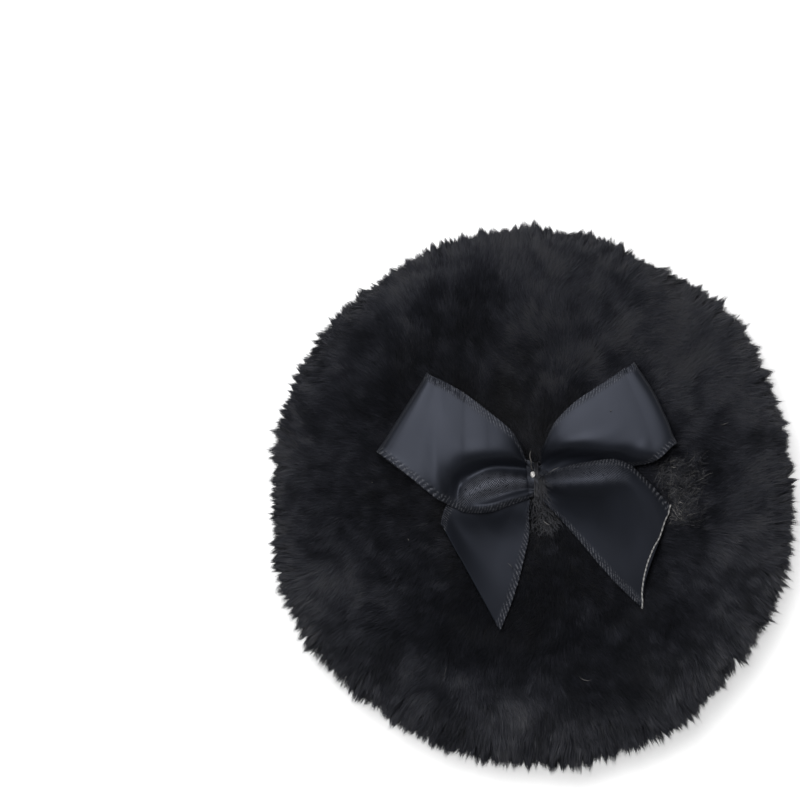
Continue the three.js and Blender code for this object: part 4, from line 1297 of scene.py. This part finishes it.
fluffPatches = {
    # middle x and y, reach in x and y, all in millimetres, count, tint, body, heading and its spread
    "middle": (0.9, -0.5, 0.55, 2.3, 320, 0.87, "bow", -1.4, 0.5),
    "below": (1.8, -5, 1.3, 3.2, 430, 0.87, "pad", -1.2, 0.9),
    # beside: partly greyed fluff, partly fibres coloured light as painted sheen of lit fur
    "beside": (24.2, -2.2, 2.2, 5.8, 900, 0.9, "pad", 0.7, 0.7),
    "lump": (25.2, -6.3, 0.6, 0.9, 90, 0.945, "pad", 2.3, 0.5),
}
strays = (
    # x, y and length in millimetres, heading and how much it turns, tint
    (-15.7, -34, 3.2, 1.2, 0.9, 0.95), (7.6, -33.2, 2.6, -0.5, 1.4, 0.95),
    (1.5, -6.4, 1.9, -0.9, 1.3, 0.965), (2.2, 0.9, 2.6, 0.6, -0.5, 0.95),
    (-27.7, -0.5, 0.45, 0.4, 0.2, 0.98), (-21.2, -10.4, 0.5, 1.9, 0.2, 0.985),
    (25.3, -6.4, 1.4, 2.3, 0.5, 0.97), (24.4, -3.4, 1.1, -0.6, 0.6, 0.965),
    (23.1, 2.4, 1.2, -0.3, 0.5, 0.96), (12.9, 11.6, 0.4, 1.1, 0.2, 0.96),
    (-3.5, -15.2, 1.6, 2.2, 0.8, 0.94), (31.5, 9.4, 1.8, 0.2, 0.7, 0.945),
)
fluff = {
    "taper": (0.8, 1, 0.9, 0.6, 0.1),
    "width": 0.05 * mm,
    "strayWidth": 0.12 * mm,
    "lengths": (0.7, 2.6),  # these three in millimetres
    "starts": (-0.1, 0.5),  # from the surface up
    "arches": (0, 0.4),
    "bend": 0.6,
    "clear": 0.08 * mm,  # a fibre stays this far over the surface
    "climb": 0.8 * mm,  # but climbs no further than this from its start for it
    "dip": 0.04 * mm,  # how far it lies under the room for the bow
    "strayRise": 0.35 * mm,
    "strayArch": 0.3 * mm,
}


def arcs(x, y, z, heading, length, bend, lift):
    # each fibre is an arc that starts at its place and turns as it goes
    steps = np.linspace(0, 1, 5)
    way = heading[:, None] + bend[:, None] * (steps[None] - 0.5)
    step = length[:, None] / (len(steps) - 1)
    dx, dy = runningSum(np.cos(way[:, 1:]) * step), runningSum(np.sin(way[:, 1:]) * step)
    rise = lift[:, None] * np.sin(np.pi * steps)[None]
    return np.stack([x[:, None] + dx, y[:, None] + dy, z[:, None] + rise], -1)


def addFluff(name, lines, tints, body, width):
    along = unit(lines[:, -1] - lines[:, 0])
    sides = unit(np.cross(along, upwards))[:, None]
    mesh = strandMesh(name, lines, width * np.array(fluff["taper"]), sides, tints)
    addPiece(name, mesh, body, "plush_pile", "plush")


def fluffLevel(x, y):  # on the ribbon where there is some, and otherwise on the pile
    points = np.stack([x, y, 0 * x], -1)
    pile = pileTop(np.hypot(x, y - puff["bowOffset"]))
    return np.maximum(heightAt(points, upperSide, -np.inf), pile)


def makeFluff():
    for name, (x, y, reachX, reachY, count, tint, body, heading, spread) in fluffPatches.items():
        px = (x + random.normal(0, reachX, count).clip(-1.9 * reachX, 1.9 * reachX)) * mm
        py = (y + random.uniform(-reachY, reachY, count)) * mm + puff["bowOffset"]
        if body == "pad":  # only where no ribbon lies
            bare = np.isinf(heightAt(np.stack([px, py, 0 * px], -1), upperSide, -np.inf))
            px, py, count = px[bare], py[bare], int(bare.sum())
        ways = heading + random.normal(0, spread, count)
        length = random.uniform(*fluff["lengths"], count) * mm
        level = fluffLevel(px, py) + random.uniform(*fluff["starts"], count) * mm
        bend = random.normal(0, fluff["bend"], count)
        arch = random.uniform(*fluff["arches"], count) * mm
        lines = arcs(px, py, level, ways, length, bend, arch)
        low = fluffLevel(lines[..., 0], lines[..., 1]) + fluff["clear"]
        lines[..., 2] = np.maximum(lines[..., 2], np.minimum(low, level[:, None] + fluff["climb"]))
        if body == "pad":
            lines, _ = pressed(lines, fluff["dip"])
        tints = tint + random.normal(0, 0.03, count).clip(-0.06, 0.06)
        addFluff(f"fluff_{name}", lines, tints, body, fluff["width"])
    x, y, length, heading, bend, tints = np.array(strays).T
    x, y, length = x * mm, y * mm + puff["bowOffset"], length * mm
    arch = np.full(len(x), fluff["strayArch"])
    lines = arcs(x, y, fluffLevel(x, y) + fluff["strayRise"], heading, length, bend, arch)
    addFluff("stray_hairs", lines, tints, "pad", fluff["strayWidth"])
    print("fluff: over and below the middle, beside the right tail, and strays")


makeFluff()

# Hidden threads of the frame keep their CAD shapes and get their finish
for node in ("edge_seam_thread", "closing_stitches", "anchor_knot", "anchor_stitch"):
    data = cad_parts[node].data
    data.materials.clear()
    data.materials.append(materials["thread"])


# Stage: a white floor, soft light from the upper left and a pale world

stage = {
    "world": 0.11,
    "floorGlow": 0.53,
    "lamps": {
        # azimuth from +X and elevation in degrees, distance and size in metres, power in watts
        "key": (126, 75, 1.3, 0.6, 14.6),
        "fill": (-20, 50, 1.3, 0.9, 1.6),
    },
    "aim": Vector((0, 0, 0.015)),
}


def makeLamp(name, azimuth, elevation, distance, size, power):
    lamp = bpy.data.lights.new(name, "AREA")
    lamp.shape = "DISK"
    lamp.size = size
    lamp.energy = power
    light = bpy.data.objects.new(name, lamp)
    around, up = math.radians(azimuth), math.radians(elevation)
    way = Vector((math.cos(around) * math.cos(up), math.sin(around) * math.cos(up), math.sin(up)))
    light.location = stage["aim"] + way * distance
    light.rotation_euler = (-way).to_track_quat("-Z", "Y").to_euler()
    scene.collection.objects.link(light)


def makeFloor():
    bm = bmesh.new()
    bmesh.ops.create_grid(bm, x_segments=1, y_segments=1, size=3)
    bmesh.ops.translate(bm, verts=bm.verts, vec=(0, 0, -0.02 * mm))
    floor = bpy.data.objects.new("floor", meshFrom(bm, "floor"))
    scene.collection.objects.link(floor)
    surface = Surface(bpy.data.materials.new("white floor"))
    matte = surface.make("ShaderNodeBsdfDiffuse", {}, {"Color": (0.9, 0.9, 0.9, 1)})
    away = surface.make("ShaderNodeVectorMath", {"operation": "LENGTH"}, {0: surface.place()}, "Value")
    strength = away.between(0.25, 1.2) * (1 - stage["floorGlow"]) + stage["floorGlow"]
    glow = surface.make("ShaderNodeEmission", {}, {"Color": (1, 1, 1, 1), "Strength": strength})
    seen = surface.make("ShaderNodeLightPath", outlet="Is Camera Ray")
    lit = surface.make("ShaderNodeAddShader", {}, {0: matte, 1: glow})
    mixed = surface.make("ShaderNodeMixShader", {}, {0: seen, 1: matte, 2: lit})
    floor.data.materials.append(surface.finish(mixed))


def makeWorld():
    scene.world = bpy.data.worlds.new("studio")
    surface = Surface(scene.world)
    seen = surface.make("ShaderNodeLightPath", outlet="Is Camera Ray")
    strength = surface.make("ShaderNodeMapRange", {}, {"Value": seen, "To Min": stage["world"]})
    background = surface.make(
        "ShaderNodeBackground", {}, {"Color": (1, 1, 1, 1), "Strength": strength}
    )
    surface.make("ShaderNodeOutputWorld", {}, {"Surface": background})


makeFloor()
makeWorld()
for name, values in stage["lamps"].items():
    makeLamp(name, *values)
print("stage: floor, two lamps and world")
